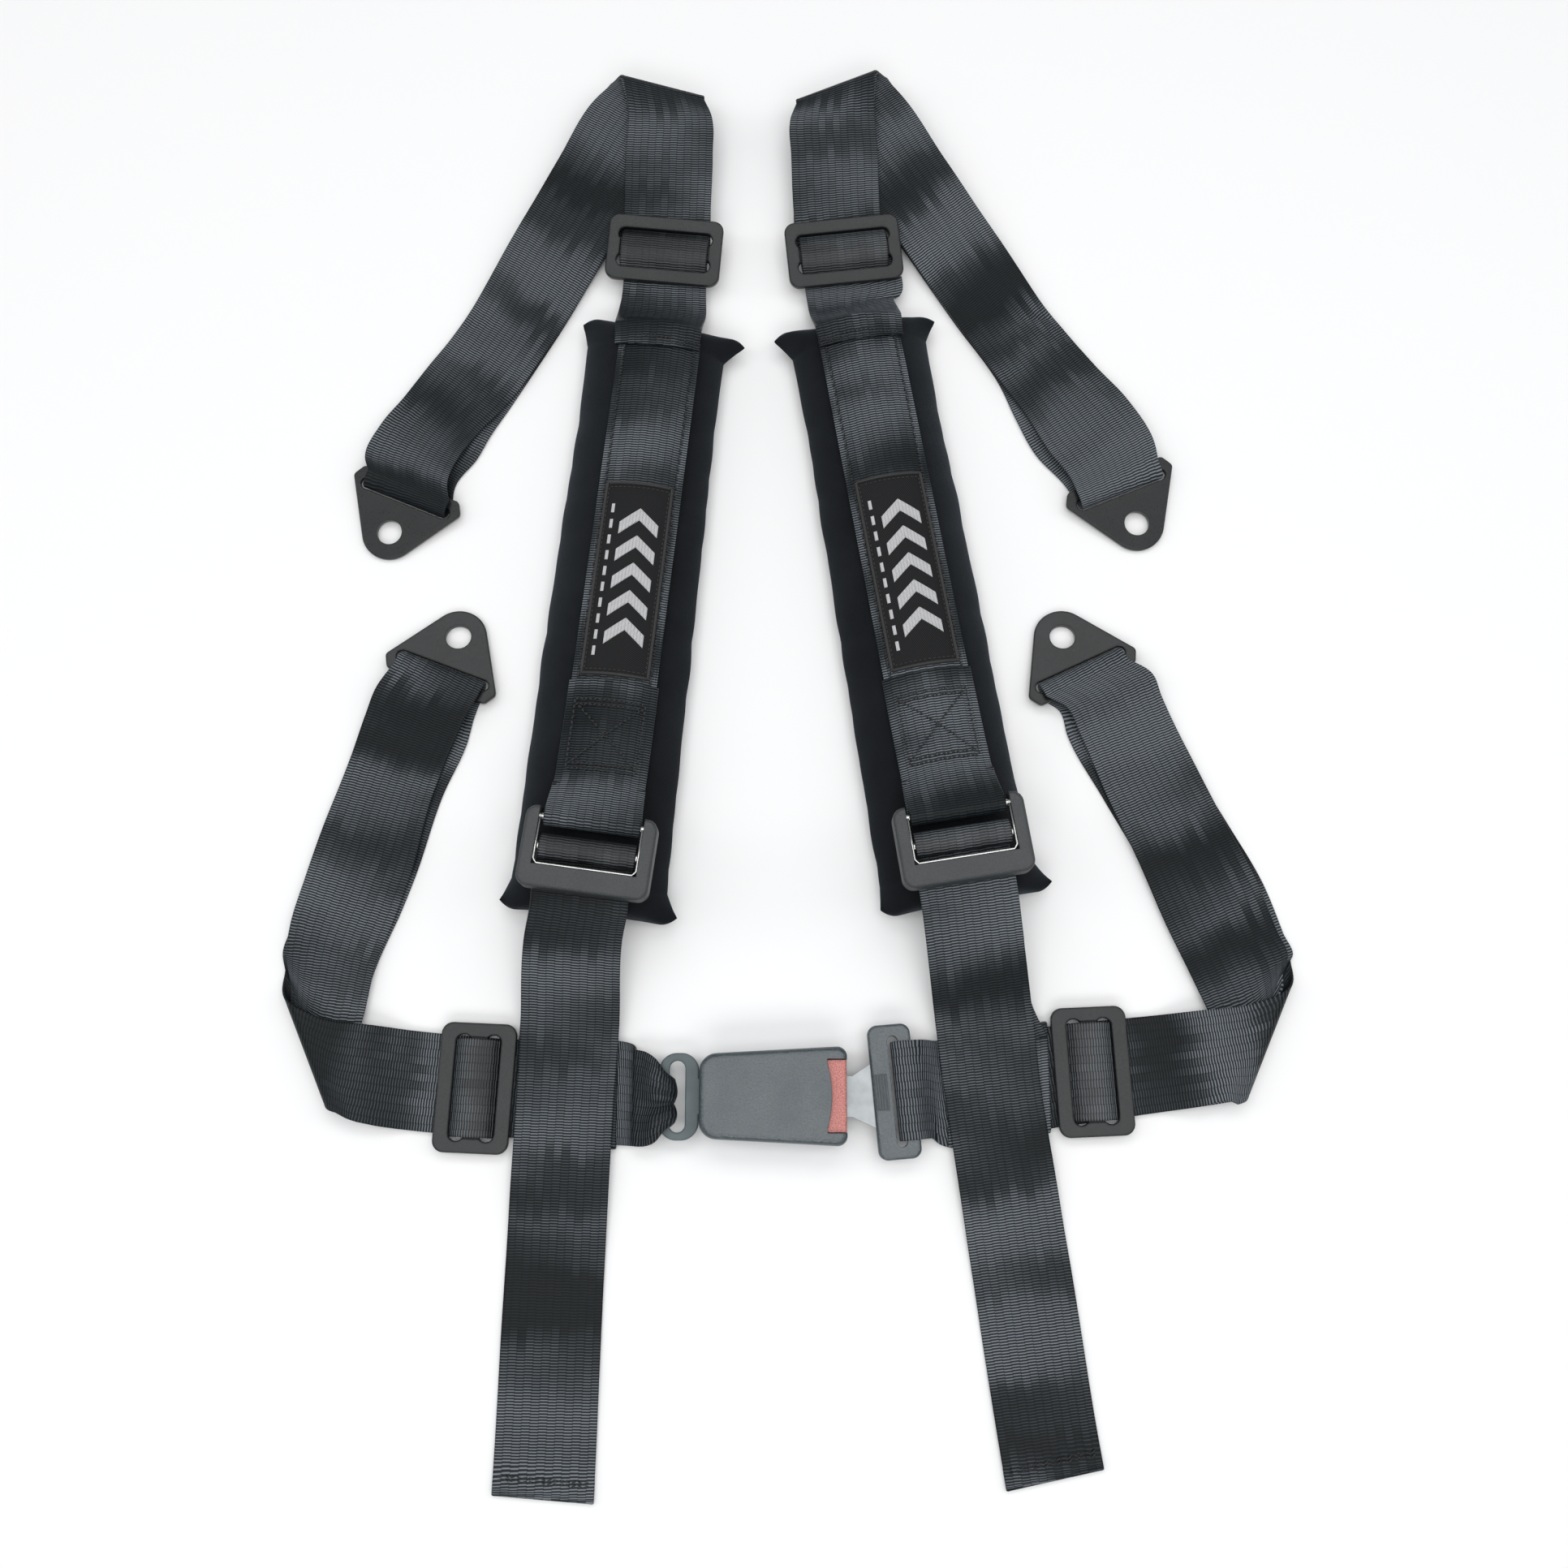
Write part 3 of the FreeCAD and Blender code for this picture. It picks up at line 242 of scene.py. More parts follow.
def link(name, verts, faces, uvs=None):
    """A smooth mesh object from millimetre points, with a texture place for each point."""
    mesh = bpy.data.meshes.new(name)
    mesh.from_pydata((np.asarray(verts) * MM).tolist(), [], faces)
    if uvs is not None:
        layer = mesh.uv_layers.new(name="weave")
        index = np.zeros(len(mesh.loops), np.int32)
        mesh.loops.foreach_get("vertex_index", index)
        layer.data.foreach_set("uv", np.asarray(uvs, np.float32)[index].ravel())
    mesh.shade_smooth()
    obj = bpy.data.objects.new(name, mesh)
    bpy.context.scene.collection.objects.link(obj)
    return obj


def ring_faces(rings, sides, base=0, flip=False, closed=False):
    """Quads between one ring of points and the next."""
    faces = []
    for i in range(rings if closed else rings - 1):
        a, b = base + i * sides, base + (i + 1) % rings * sides
        for j in range(sides):
            k = (j + 1) % sides
            faces.append((a + j, b + j, b + k, a + k) if flip else (a + j, a + k, b + k, b + j))
    return faces


def dress(obj, material, slot, body, *nodes):
    """Give a piece its material and body, and let it stand for CAD nodes. The slot is not used."""
    obj.data.materials.clear()
    obj.data.materials.append(material)
    if nodes:
        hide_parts(*nodes)
    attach(obj, body)
    return obj


# ------------------------------------------------------------ webbing


def row(left, right, soft=1.0, bow=0.0, gather=0.0, turn=0.0):
    """One cross-section: its edges, how loose it is, its arch and its bunching."""
    return np.concatenate([left, right, [soft, bow, gather, turn]])


def level_line(edge, z, aside=0.0):
    """Both ends of a line across the webbing, from its layout positions."""
    x0, y0, x1, y1 = edge
    return at(x0 + aside, y0, z), at(x1 + aside, y1, z)


def flat(edge, z, soft=1.0, aside=0.0):
    """A level cross-section between two layout positions."""
    return row(*level_line(edge, z, aside), soft)


def local(place, y, z, half=HALF, shift=0.0, soft=0.0, bow=0.0, gather=0.0):
    """A cross-section along local X, with its middle at height z."""
    return row(*place([[shift - half, y, z - bow], [shift + half, y, z - bow]]), soft, bow, gather)


def bend(left, right, away, radius, start, stop, steps, slips=(0.0, 0.0), reach=None):
    """Cross-sections round the line from left to right, whose ends slide along it."""
    rows = []
    line = (right - left) / np.linalg.norm(right - left)
    for k in range(steps + 1):
        angle = math.radians(start + (stop - start) * k / steps)
        out = away * math.cos(angle) * (reach or radius) + RISING * math.sin(angle) * radius
        first, second = (line * slip * (k / steps - 0.5) for slip in slips)
        rows.append(row(left + out + first, right + out + second, 0.0, 0.0, 0.0, 1.0))
    return rows


def skews(rows):
    """How far the right edge leads the left one along the webbing, per cross-section."""
    mid = (rows[:, 0:3] + rows[:, 3:6]) / 2
    straight = np.where(rows[:, 9] == 0)[0]
    values = np.zeros(len(rows))
    for k in straight:
        before = k - 1 if k - 1 in straight else k
        after = k + 1 if k + 1 in straight else k
        run = mid[after] - mid[before]
        length = np.linalg.norm(run)
        if length > 1e-6:
            values[k] = (rows[k, 3:6] - rows[k, 0:3]) @ run / length
    if not len(straight):
        return values
    return np.interp(np.arange(len(rows)), straight, values[straight])


def sampled(rows, step, bend_step):
    """Smooth samples through the cross-sections, and how far along each one is."""
    values = np.column_stack([rows[:, :9], skews(rows)])
    mid = (rows[:, 0:3] + rows[:, 3:6]) / 2
    lengths = [np.linalg.norm(np.diff(p, axis=0), axis=1) for p in (rows[:, 0:3], rows[:, 3:6], mid)]
    left, right, middle = (np.maximum(length, 0.3) for length in lengths)
    gaps = np.column_stack([left] * 3 + [right] * 3 + [middle] * 4)
    knots = np.concatenate([[0.0], np.cumsum(middle)])
    slopes = np.diff(values, axis=0) / gaps
    lean = np.empty_like(values)
    lean[0], lean[-1] = slopes[0], slopes[-1]
    lean[1:-1] = (gaps[1:] * slopes[:-1] + gaps[:-1] * slopes[1:]) / (gaps[1:] + gaps[:-1])
    least = 2.5 * np.minimum(abs(slopes[:-1]), abs(slopes[1:])) * (slopes[:-1] * slopes[1:] > 0)
    for k in (2, 5, 6, 7, 8):
        lean[1:-1, k] = np.clip(lean[1:-1, k], -least[:, k], least[:, k])
    turning = (rows[:-1, 9] * rows[1:, 9]) > 0
    out, places = [], []
    for k, gap in enumerate(gaps):
        start, stop = lean[k].copy(), lean[k + 1].copy()
        for c in (0, 1, 3, 4):
            if k and turning[k] != turning[k - 1]:
                start[c] = slopes[k, c]
            if k < len(gaps) - 1 and turning[k] != turning[k + 1]:
                stop[c] = slopes[k, c]
        count = max(1, int(math.ceil(middle[k] / (bend_step if turning[k] else step))))
        for t in np.arange(count) / count:
            h00, h10 = 2 * t**3 - 3 * t**2 + 1, t**3 - 2 * t**2 + t
            h01, h11 = -2 * t**3 + 3 * t**2, t**3 - t**2
            spot = h00 * values[k] + h10 * gap * start
            out.append(spot + h01 * values[k + 1] + h11 * gap * stop)
            places.append(knots[k] + t * middle[k])
    out.append(values[-1])
    places.append(knots[-1])
    return np.array(out), np.array(places)


def profile(thickness, columns):
    """Points round a webbing cross-section: share across, and height."""
    edge = np.array([0.0, 0.25, 0.8, 1.6])
    inner = np.linspace(-HALF + 2.4, HALF - 2.4, columns)
    across = np.concatenate([-HALF + edge, inner, HALF - edge[::-1]])
    inset = HALF - np.abs(across)
    high = np.interp(inset, [0.0, 0.25, 0.8, 1.6, 2.4], [0.2, 0.42, 0.55, 0.54, 0.5])
    top = np.column_stack([across / HALF, high * thickness])
    return np.vstack([top, top[::-1] * [1, -1]])


def sway(along, share, amount, seed):
    """The gentle waves of webbing that lies loose."""
    rng = np.random.default_rng(seed)
    lift = np.zeros((len(along), len(share)))
    for length, part in ((61.0, 0.5), (37.0, 0.25), (103.0, 0.8)):
        phase, lean = rng.uniform(0, TURN), rng.uniform(-0.35, 0.35)
        place = along[:, None] / length + lean * share[None, :]
        lift += part * np.sin(TURN * place + phase)
    twist = np.sin(TURN * along / 139.0 + rng.uniform(0, 6.28))
    return (lift + 0.5 * twist[:, None] * share[None, :] + 2.0) * amount / 2


def lobes(share):
    """Two rounded lobes with a sharp valley between them, from -1 to 1."""
    share = share - 0.12 * (1 - share**2)
    inner = 2 * np.abs(np.sin(math.pi * np.clip(share, -0.5, 0.5))) ** 0.8 - 1
    return inner - 1.5 * np.maximum(0, 2 * np.abs(share) - 1) ** 2


def ribbon(name, rows, thickness=PLY, amount=0.6, seed=1, step=2.5, bend_step=0.8, columns=15):
    """A webbing band through its cross-sections."""
    values, along = sampled(np.array(rows), step, bend_step)
    left, right = values[:, 0:3], values[:, 3:6]
    soft, bow, gather, skew = values[:, 6], values[:, 7], values[:, 8], values[:, 9]
    mid = (left + right) / 2
    across = right - left
    half = np.linalg.norm(across, axis=1) / 2
    side = across / (2 * half)[:, None]
    normal = np.cross(side, np.gradient(mid, axis=0))
    normal /= np.linalg.norm(normal, axis=1)[:, None]
    section = profile(thickness, columns)
    share = section[:, 0]
    lift = sway(along, share, amount, seed) * np.clip(soft, 0, 1)[:, None]
    facing = np.sign(normal[:, 2])[:, None]
    lift = facing * (lift + bow[:, None] * (1 - share[None, :] ** 2))
    lift = lift + gather[:, None] * lobes(share)[None, :]
    points = (
        mid[:, None, :]
        + side[:, None, :] * (share[None, :] * half[:, None])[:, :, None]
        + normal[:, None, :] * (lift + section[None, :, 1])[:, :, None]
    )
    points[:, :, 2] = np.maximum(points[:, :, 2], 0.1 + 0.03 * section[None, :, 1])
    count, ring = points.shape[:2]
    faces = ring_faces(count, ring)
    for base, turn in ((0, 1), ((count - 1) * ring, -1)):
        for j in range(ring // 2 - 1):
            quad = (base + j, base + ring - 1 - j, base + ring - 2 - j, base + j + 1)
            faces.append(quad[::turn])
    u = np.broadcast_to((share[None, :] + 1) / 2, (count, ring))
    v = (along[:, None] + skew[:, None] * share[None, :] / 2) / (2 * HALF)
    uvs = np.stack([u, v], axis=-1).reshape(-1, 2)
    return link(name, points.reshape(-1, 3), faces, uvs)


def fold_away(edges):
    """Outwards from a fold line, away from the strap that comes to it."""
    x0, y0, x1, y1 = edges[0][:4]
    out = np.array([-(y1 - y0), x1 - x0, 0.0])
    strap = np.array([edges[2][0] - x0, edges[2][1] - y0, 0.0])
    if out @ strap > 0:
        out = -out
    return out / np.linalg.norm(out)


def slips_for(side, apex, other):
    """Slips of the left and right edges, towards the end of the fold that points out."""
    if side["bracket"][0] < 0:
        return (-apex, -other)
    return (other, apex)


def rear_run(side, inner):
    """Down to the bracket as the lower ply, round its bar and back as the upper one."""
    rear = side["rear"]
    x, y, turn = side["bracket"]
    place = Place(at(x, y, 5.2), turn)
    away, across = place.aim([0, -1, 0]), place.aim([1, 0, 0])
    last = len(rear) - 1
    left, right = level_line(rear[-1][:4], 0.0)
    if (right - left) @ across < 0:
        across = -across
    rows = []
    for k, (*line, z, aside) in enumerate(rear):
        low = z if k < last - 1 else 0.6
        rows.append(flat(line, low + UNDER, 0.0, aside))
    ends = (place.spot - across * HALF, place.spot + across * HALF)
    rows += bend(*ends, away, BRACKET_LOOP, -90, 90, 12, reach=BRACKET_REACH)
    for k in range(last, -1, -1):
        *line, z, _ = rear[k]
        high = z + OVER if k < last else 8.0
        rows.append(flat(line, high + inner * soft_at(k, last), soft_at(k, last)))
    return rows


def soft_at(k, last):
    """How loose the webbing is, from the fold to the bracket."""
    return math.sin(math.pi * min(1.0, (k + 0.3) / last)) ** 0.6 if k < last else 0.0


def folded(side, coming, going):
    """A strap that comes to its fold on top, runs to the bracket and returns inside."""
    rear = side["rear"]
    *line, low, _ = rear[0]
    away = fold_away(rear)
    axis = low + UNDER + FOLD_OUTER
    outer_apex, outer_other, inner_apex, inner_other = side.get("slips", (9.0, 4.0, 6.0, 2.0))
    rows = coming
    slips = slips_for(side, outer_apex, outer_other)
    rows += bend(*level_line(line, axis), away, FOLD_OUTER, 90, -90, 12, slips)
    rows += rear_run(side, 0.5)[1:-1]
    slips = slips_for(side, -inner_apex, -inner_other)
    rows += bend(*level_line(side.get("inner", line), axis), away, FOLD_INNER, -90, 90, 10, slips)
    return rows + going


def shoulder_rows(side):
    """Hem on the pad, slide, fold, bracket, and back to the slide."""
    x, y, turn = side["pad"]
    pad = Place(at(x, y), turn)
    veer = 1.0 if turn < 0 else -0.6
    hem = [
        (-14.5, 33.1, 23.8, 1.6, 6.8),
        (-9.0, 33.2, 24.0, 1.8, 6.0),
        (-3.5, 31.6, 24.4, 2.1, 4.2),
        (2.5, 24.5, 24.6, 2.8, 2.4),
        (9.0, 15.5, 24.8, 3.5, 1.0),
        (19.0, 8.0, 25.0, 3.6, 0.0),
    ]
    rows = [local(pad, t, z, half, -shift * veer, bow=bow) for t, z, half, shift, bow in hem]
    under = []
    for k, line in enumerate(reversed(side["front"])):
        level = shoulder_level(line[1])
        rows.append(flat(line, level + OVER, 0.15 if k < 3 else 0.8))
        if k > 0:
            under.insert(0, flat(line, level + UNDER, 0.3))
    x0, y0, x1, y1 = side["front"][2]
    under.append(flat((x0, y0 - 30, x1, y1 - 30), shoulder_level(y0 - 30) + UNDER, 0.0))
    return folded(side, rows, under)


def lap_rows(side, end):
    """Looped end, slide, fold, bracket, and back to the slide."""
    rows = list(end)
    under = []
    for k, (*line, z) in enumerate(reversed(side["front"])):
        rows.append(flat(line, z + OVER, 0.5 if k > 2 else 0.1))
        if k > 1:
            under.insert(0, flat(line, z + UNDER, 0.2))
    *line, z = side["front"][3]
    under.append(flat(line, z + UNDER, 0.0, 2.0 if line[0] > 0 else -2.0))
    return folded(side, rows, under)


def anchor_rows():
    """The left lap webbing bunched into two lobes round the anchor's bar."""
    place = Place(BUCKLE, -90)
    rows = [local(place, -27.0, 5.2, 20.0, 1.6), local(place, -21.0, 6.0, 17.0, 2.0, gather=-0.3)]
    for k in range(11):
        angle = math.radians(-90 + 180 * k / 10)
        x = -17.5 + 4.5 * math.cos(angle)
        z = 10.0 + 3.9 * math.sin(angle)
        pinch = 0.3 + 1.3 * math.cos(angle / 2 - math.pi / 4) ** 2
        rows.append(local(place, x, z, 11.2 + 3.6 * (1 - math.cos(angle)), 2.3, gather=-pinch))
        rows[-1][9] = 1.0
    over = [
        (-21.2, 14.6, 19.4, 2.2, 2.1),
        (-25.0, 12.6, 22.2, 1.8, 1.5),
        (-29.0, 9.8, 23.9, 1.1, 0.7),
        (-34.0, 6.8, 24.4, 0.4, 0.0),
    ]
    rows += [local(place, x, z, h, shift, gather=-g) for x, z, h, shift, g in over]
    return rows


def tongue_rows():
    """The right lap webbing looped through the slot of the tongue."""
    rows = [local(TONGUE, 17.5, 2.6, -HALF), local(TONGUE, 11.0, 4.4, -HALF)]
    for k in range(13):
        angle = math.radians(-90 + 180 * k / 12)
        y = 6.2 - 5.2 * math.cos(angle)
        z = 9.3 + 4.5 * math.sin(angle)
        rows.append(local(TONGUE, y, z, -HALF))
        rows[-1][9] = 1.0
    rows += [local(TONGUE, 11.5, 12.7, -HALF), local(TONGUE, 17.0, 8.0, -HALF)]
    return rows


# ------------------------------------------------------------ pads

PAD_CROWN = 30.4
PAD_WAIST = 9.0
PAD_EDGE = 1.8
PAD_REST = 0.35
PAD_END = 26
PAD_HALF = 39.0

# Distances from a pad's top end at which pad_left and pad_right give its outline.
PAD_STATIONS = [0, 14, 60, 110, 180, 250, 316, 332]


def pad_shape(t):
    """Crown height and waist height of a pad, t from its top end."""
    near = min(t, PAD_LENGTH - t)
    rise = math.sqrt(max(0.0, 1 - max(0.0, 1 - near / 17.0) ** 2))
    waist = PAD_WAIST + 1.5 * (1 - rise)
    crown = waist + PAD_EDGE + (PAD_CROWN - PAD_WAIST - PAD_EDGE) * rise
    return crown, waist


def pad_top(t, x):
    """Height of the pad's upper face."""
    crown, waist = pad_shape(t)
    return waist + (crown - waist) * max(0.0, 1 - (x / PAD_HALF) ** 2) ** 0.8


def pad_mesh(name, place, side, seed):
    """A stuffed velour tube, sewn flat across both ends, so that its corners point out."""
    rng = np.random.default_rng(seed)
    phases = rng.uniform(0, TURN, 12)
    near_end = np.arange(0.0, PAD_END)
    middle = np.linspace(PAD_END, PAD_LENGTH - PAD_END, 95)
    steps = np.concatenate([near_end, middle, PAD_LENGTH - near_end[::-1]])
    count = 96
    angles = np.linspace(0, TURN, count, endpoint=False)
    points, uvs = [], []
    for t in steps:
        crown, waist = pad_shape(t)
        near = min(t, PAD_LENGTH - t)
        flatness = math.exp(-near / 9.0)
        low = PAD_REST + (waist - PAD_REST - PAD_EDGE) * math.exp(-((near / 9.0) ** 1.6))
        end = 1 if t < PAD_LENGTH / 2 else -1
        for a in angles:
            c, s = math.cos(a), math.sin(a)
            half = np.interp(t, PAD_STATIONS, side["pad_right" if c > 0 else "pad_left"])
            x = half * math.copysign(abs(c) ** (1 / (1.0 + 0.5 * flatness)), c)
            share = abs(x) / half
            if s >= 0:
                z = waist + (crown - waist) * max(0.0, 1 - share**2) ** 0.8
            else:
                z = waist - (waist - low) * max(0.0, 1 - share**3.2) ** 0.55
            tip = 5.0 * max(0.0, share / 0.2 - 4.0) ** 2
            fade = math.exp(-((near / 8.0) ** 1.4))
            along = t + end * fade * (3.0 * (1 - share**1.6) + tip)
            reach = np.interp(x, [-45, 45], side["pad_end"]) if end > 0 else 2.4
            along += reach * math.exp(-near / 30.0)
            edge = max(0.0, share - 0.55) / 0.45
            pucker = 0.0
            for k, length in enumerate((41.0, 67.0, 113.0)):
                pucker += math.sin(TURN * t / length + phases[k] + 1.7 * math.copysign(1, c))
            wave = 0.3 * pucker * edge * (1 - flatness)
            crease = 0.9 * flatness * math.sin(x / 4.7 + phases[4]) * (1 - share**6)
            points.append((x + math.copysign(wave, c), -along, max(0.3, z + crease * (s >= 0))))
            uvs.append((a / 6.2832, t / 50))
    last = len(points) - 1
    faces = ring_faces(len(steps), count, flip=True)
    faces.append(tuple(range(count)))
    faces.append(tuple(range(last, last - count, -1)))
    return link(name, place(points), faces, uvs)


# ------------------------------------------------------------ sewing

# Along a stitch: share of its length, size by its radius, and height by its lift.
THREAD_RINGS = [(0.0, 0.3, -0.8), (0.2, 0.95, 0.5), (0.5, 1.1, 1.0), (0.8, 0.95, 0.5), (1.0, 0.3, -0.8)]


def sideways(run):
    """Directions across a cord: one level, the other at right angles to it."""
    cross = np.cross(run, RISING)
    norm = np.linalg.norm(cross)
    cross = cross / norm if norm > 1e-6 else np.array([1.0, 0.0, 0.0])
    return cross, np.cross(cross, run)


def circle(centre, cross, over, radius, sides, size=1.0):
    """Points round a cord."""
    points = []
    for k in range(sides):
        angle = TURN * k / sides
        out = cross * math.cos(angle) + over * math.sin(angle)
        points.append(centre + out * radius * size)
    return points


def threads(name, pairs, radius, lift=0.25, sides=6):
    """Short raised threads between pairs of points, each sunk at both ends."""
    verts, faces = [], []
    for start, stop in np.asarray(pairs, float):
        run = stop - start
        length = np.linalg.norm(run)
        if length < 1e-6:
            continue
        run /= length
        cross, over = sideways(run)
        base = len(verts)
        for share, size, high in THREAD_RINGS:
            centre = start + (stop - start) * share + over * lift * high
            verts += circle(centre, cross, over, radius, sides, size)
        faces += ring_faces(len(THREAD_RINGS), sides, base)
        faces.append(tuple(base + j for j in reversed(range(sides))))
        faces.append(tuple(len(verts) - sides + j for j in range(sides)))
    return link(name, verts, faces)


def stitch_line(points, pitch=3.0, gap=0.7, zigzag=0.0):
    """Pairs of points for a row of stitches along a line, with an optional zigzag."""
    points = np.asarray(points, float)
    lengths = np.linalg.norm(np.diff(points, axis=0), axis=1)
    knots = np.concatenate([[0.0], np.cumsum(lengths)])
    count = max(1, int(round(knots[-1] / pitch)))
    step = knots[-1] / count
    pairs = []
    for k in range(count):
        ends = []
        for place in (k * step + gap / 2, (k + 1) * step - gap / 2):
            spot = np.array([np.interp(place, knots, points[:, i]) for i in range(3)])
            ends.append(spot)
        if zigzag:
            run = ends[1] - ends[0]
            out = np.array([-run[1], run[0], 0.0])
            out /= np.linalg.norm(out)
            ends[0] = ends[0] + out * zigzag * (1 if k % 2 else -1)
            ends[1] = ends[1] - out * zigzag * (1 if k % 2 else -1)
        pairs.append(ends)
    return pairs


def tube(name, points, radius, sides=8, closed=False):
    """A round cord through points."""
    points = np.asarray(points, float)
    count = len(points)
    verts = []
    for k in range(count):
        before = points[(k - 1) % count] if closed or k else points[k]
        after = points[(k + 1) % count] if closed or k < count - 1 else points[k]
        run = after - before
        run /= np.linalg.norm(run)
        verts += circle(points[k], *sideways(run), radius, sides)
    faces = ring_faces(count, sides, closed=closed)
    if not closed:
        faces.append(tuple(reversed(range(sides))))
        faces.append(tuple((count - 1) * sides + j for j in range(sides)))
    return link(name, verts, faces)


# ------------------------------------------------------------ materials


class Shader:
    """A principled material with a few procedural helpers."""

    def __init__(self, name, color, rough, metallic=0.0, **values):
        self.material = bpy.data.materials.new(name)
        self.material.use_nodes = True
        self.nodes = self.material.node_tree.nodes
        self.links = self.material.node_tree.links
        self.shader = self.nodes["Principled BSDF"]
        self.set("Base Color", (*color, 1))
        self.set("Roughness", rough)
        self.set("Metallic", metallic)
        for key, value in values.items():
            self.set(key.replace("_", " "), value)

    def set(self, socket, value):
        self.shader.inputs[socket].default_value = value

    def node(self, kind, **values):
        node = self.nodes.new(kind)
        for key, value in values.items():
            setattr(node, key, value)
        return node

    def math(self, operation, a, b=None, c=None):
        node = self.node("ShaderNodeMath", operation=operation)
        for k, value in enumerate((a, b, c)):
            if value is None:
                continue
            if isinstance(value, (int, float)):
                node.inputs[k].default_value = value
            else:
                self.links.new(value, node.inputs[k])
        return node.outputs[0]

    def coordinates(self, output):
        return self.node("ShaderNodeTexCoord").outputs[output]

    def axes(self, output):
        """The separate coordinates of a texture space."""
        node = self.node("ShaderNodeSeparateXYZ")
        self.links.new(self.coordinates(output), node.inputs[0])
        return node.outputs

    def vector(self, *parts):
        node = self.node("ShaderNodeCombineXYZ")
        for part, socket in zip(parts, node.inputs):
            self.links.new(part, socket)
        return node.outputs[0]

    def ripple(self, phase):
        """A sine from 0 to 1, once for each whole step of the phase."""
        return self.math("MULTIPLY_ADD", self.math("SINE", self.math("MULTIPLY", phase, TURN)), 0.5, 0.5)

    def noise(self, scale, detail=2.0, rough=0.5, where=None):
        node = self.node("ShaderNodeTexNoise")
        node.inputs["Scale"].default_value = scale
        node.inputs["Detail"].default_value = detail
        node.inputs["Roughness"].default_value = rough
        self.links.new(where or self.coordinates("Object"), node.inputs["Vector"])
        return node.outputs["Fac"]

    def ramp(self, value, stops):
        node = self.node("ShaderNodeValToRGB")
        elements = node.color_ramp.elements
        while len(elements) < len(stops):
            elements.new(0.5)
        for element, (place, color) in zip(elements, stops):
            element.position = place
            if isinstance(color, (int, float)):
                color = (color, color, color)
            element.color = (*color, 1)
        self.links.new(value, node.inputs["Fac"])
        return node.outputs["Color"]

    def bump(self, height, distance, strength=1.0, after=None):
        node = self.node("ShaderNodeBump")
        node.inputs["Distance"].default_value = distance
        node.inputs["Strength"].default_value = strength
        self.links.new(height, node.inputs["Height"])
        if after is not None:
            self.links.new(after, node.inputs["Normal"])
        return node.outputs["Normal"]

    def worn_edge(self, radius):
        """A normal that runs softly round sharp edges."""
        node = self.node("ShaderNodeBevel", samples=4)
        node.inputs["Radius"].default_value = radius
        return node.outputs["Normal"]

    def wire(self, value, socket):
        self.links.new(value, self.shader.inputs[socket])


def shade(color, share):
    return tuple(share * c for c in color)


def webbing_material(name="webbing_weave", light_share=1.0, gloss=0.12):
    """Woven polyester: crosswise ribs in narrow lengthwise columns. Bands of sheen are painted into the
    base colour as painted highlights.
    """
    s = Shader(name, (0.02, 0.022, 0.025), 0.32, Specular_IOR_Level=gloss)
    u, v, _ = s.axes("UV")
    column = s.math("MULTIPLY", u, 2 * HALF / COLUMN)
    number = s.math("FLOOR", column)
    parity = s.math("MODULO", number, 2.0)
    phase = s.math("MULTIPLY_ADD", parity, 0.14, s.math("MULTIPLY", v, 2 * HALF / RIB))
    rib = s.ripple(phase)
    seam = s.math("ABSOLUTE", s.math("MULTIPLY_ADD", s.math("FRACT", column), 2.0, -1.0))
    groove = s.math("POWER", seam, 9.0)
    height = s.math("SUBTRACT", rib, s.math("MULTIPLY", groove, 0.3))
    yarn = s.noise(2600.0, 2.0)
    height = s.math("MULTIPLY_ADD", yarn, 0.3, height)
    pull = s.vector(column, s.math("MULTIPLY", v, 2 * HALF / 26.0))
    tension = s.noise(1.0, 1.0, 0.5, pull)
    s.wire(s.bump(height, 0.00016, 1.0, s.bump(tension, 0.00025)), "Normal")
    # Painted highlight: bands of sheen across the strap, with ragged borders per column and a drift with
    # the place on the floor, painted into the base colour.
    finger = s.noise(1.0, 0.0, 0.5, s.vector(s.math("MULTIPLY", number, 3.7), s.math("MULTIPLY", v, 0.7)))
    ragged = s.math("MULTIPLY_ADD", finger, 0.42, s.math("MULTIPLY", v, 1.15))
    place = s.math("MULTIPLY", s.axes("Object")[0], 3.0)
    sheen = s.noise(1.0, 1.5, 0.5, s.vector(s.math("MULTIPLY", u, 0.25), ragged, place))
    sheen = s.ramp(sheen, [(0.34, 0.16), (0.46, 0.34), (0.56, 0.68), (0.7, 0.92)])
    # The ribs set where the painted sheen falls: brighter on the rib crests, darker along the column
    # seams.
    weave = s.math("MULTIPLY_ADD", s.math("POWER", rib, 1.8), 1.25, s.math("MULTIPLY", yarn, 0.36))
    weave = s.math("MULTIPLY", weave, s.math("SUBTRACT", 1.0, s.math("MULTIPLY", groove, 0.35)))
    # Base colour runs from the dark webbing up to the painted highlight of the brightest sheen.
    tones = [(0.0, (0.003, 0.0045, 0.0052)), (0.25, (0.018, 0.022, 0.0245)), (1.0, (0.18, 0.2, 0.222))]
    # The share of light scales these tones, making lighter and darker copies of the webbing as painted
    # light and painted shade.
    stops = [(spot, shade(color, light_share)) for spot, color in tones]
    s.wire(s.ramp(s.math("MULTIPLY", sheen, weave), stops), "Base Color")
    s.wire(s.ramp(s.noise(34.0, 3.0, 0.6), [(0.3, 0.28), (0.7, 0.38)]), "Roughness")
    return s.material


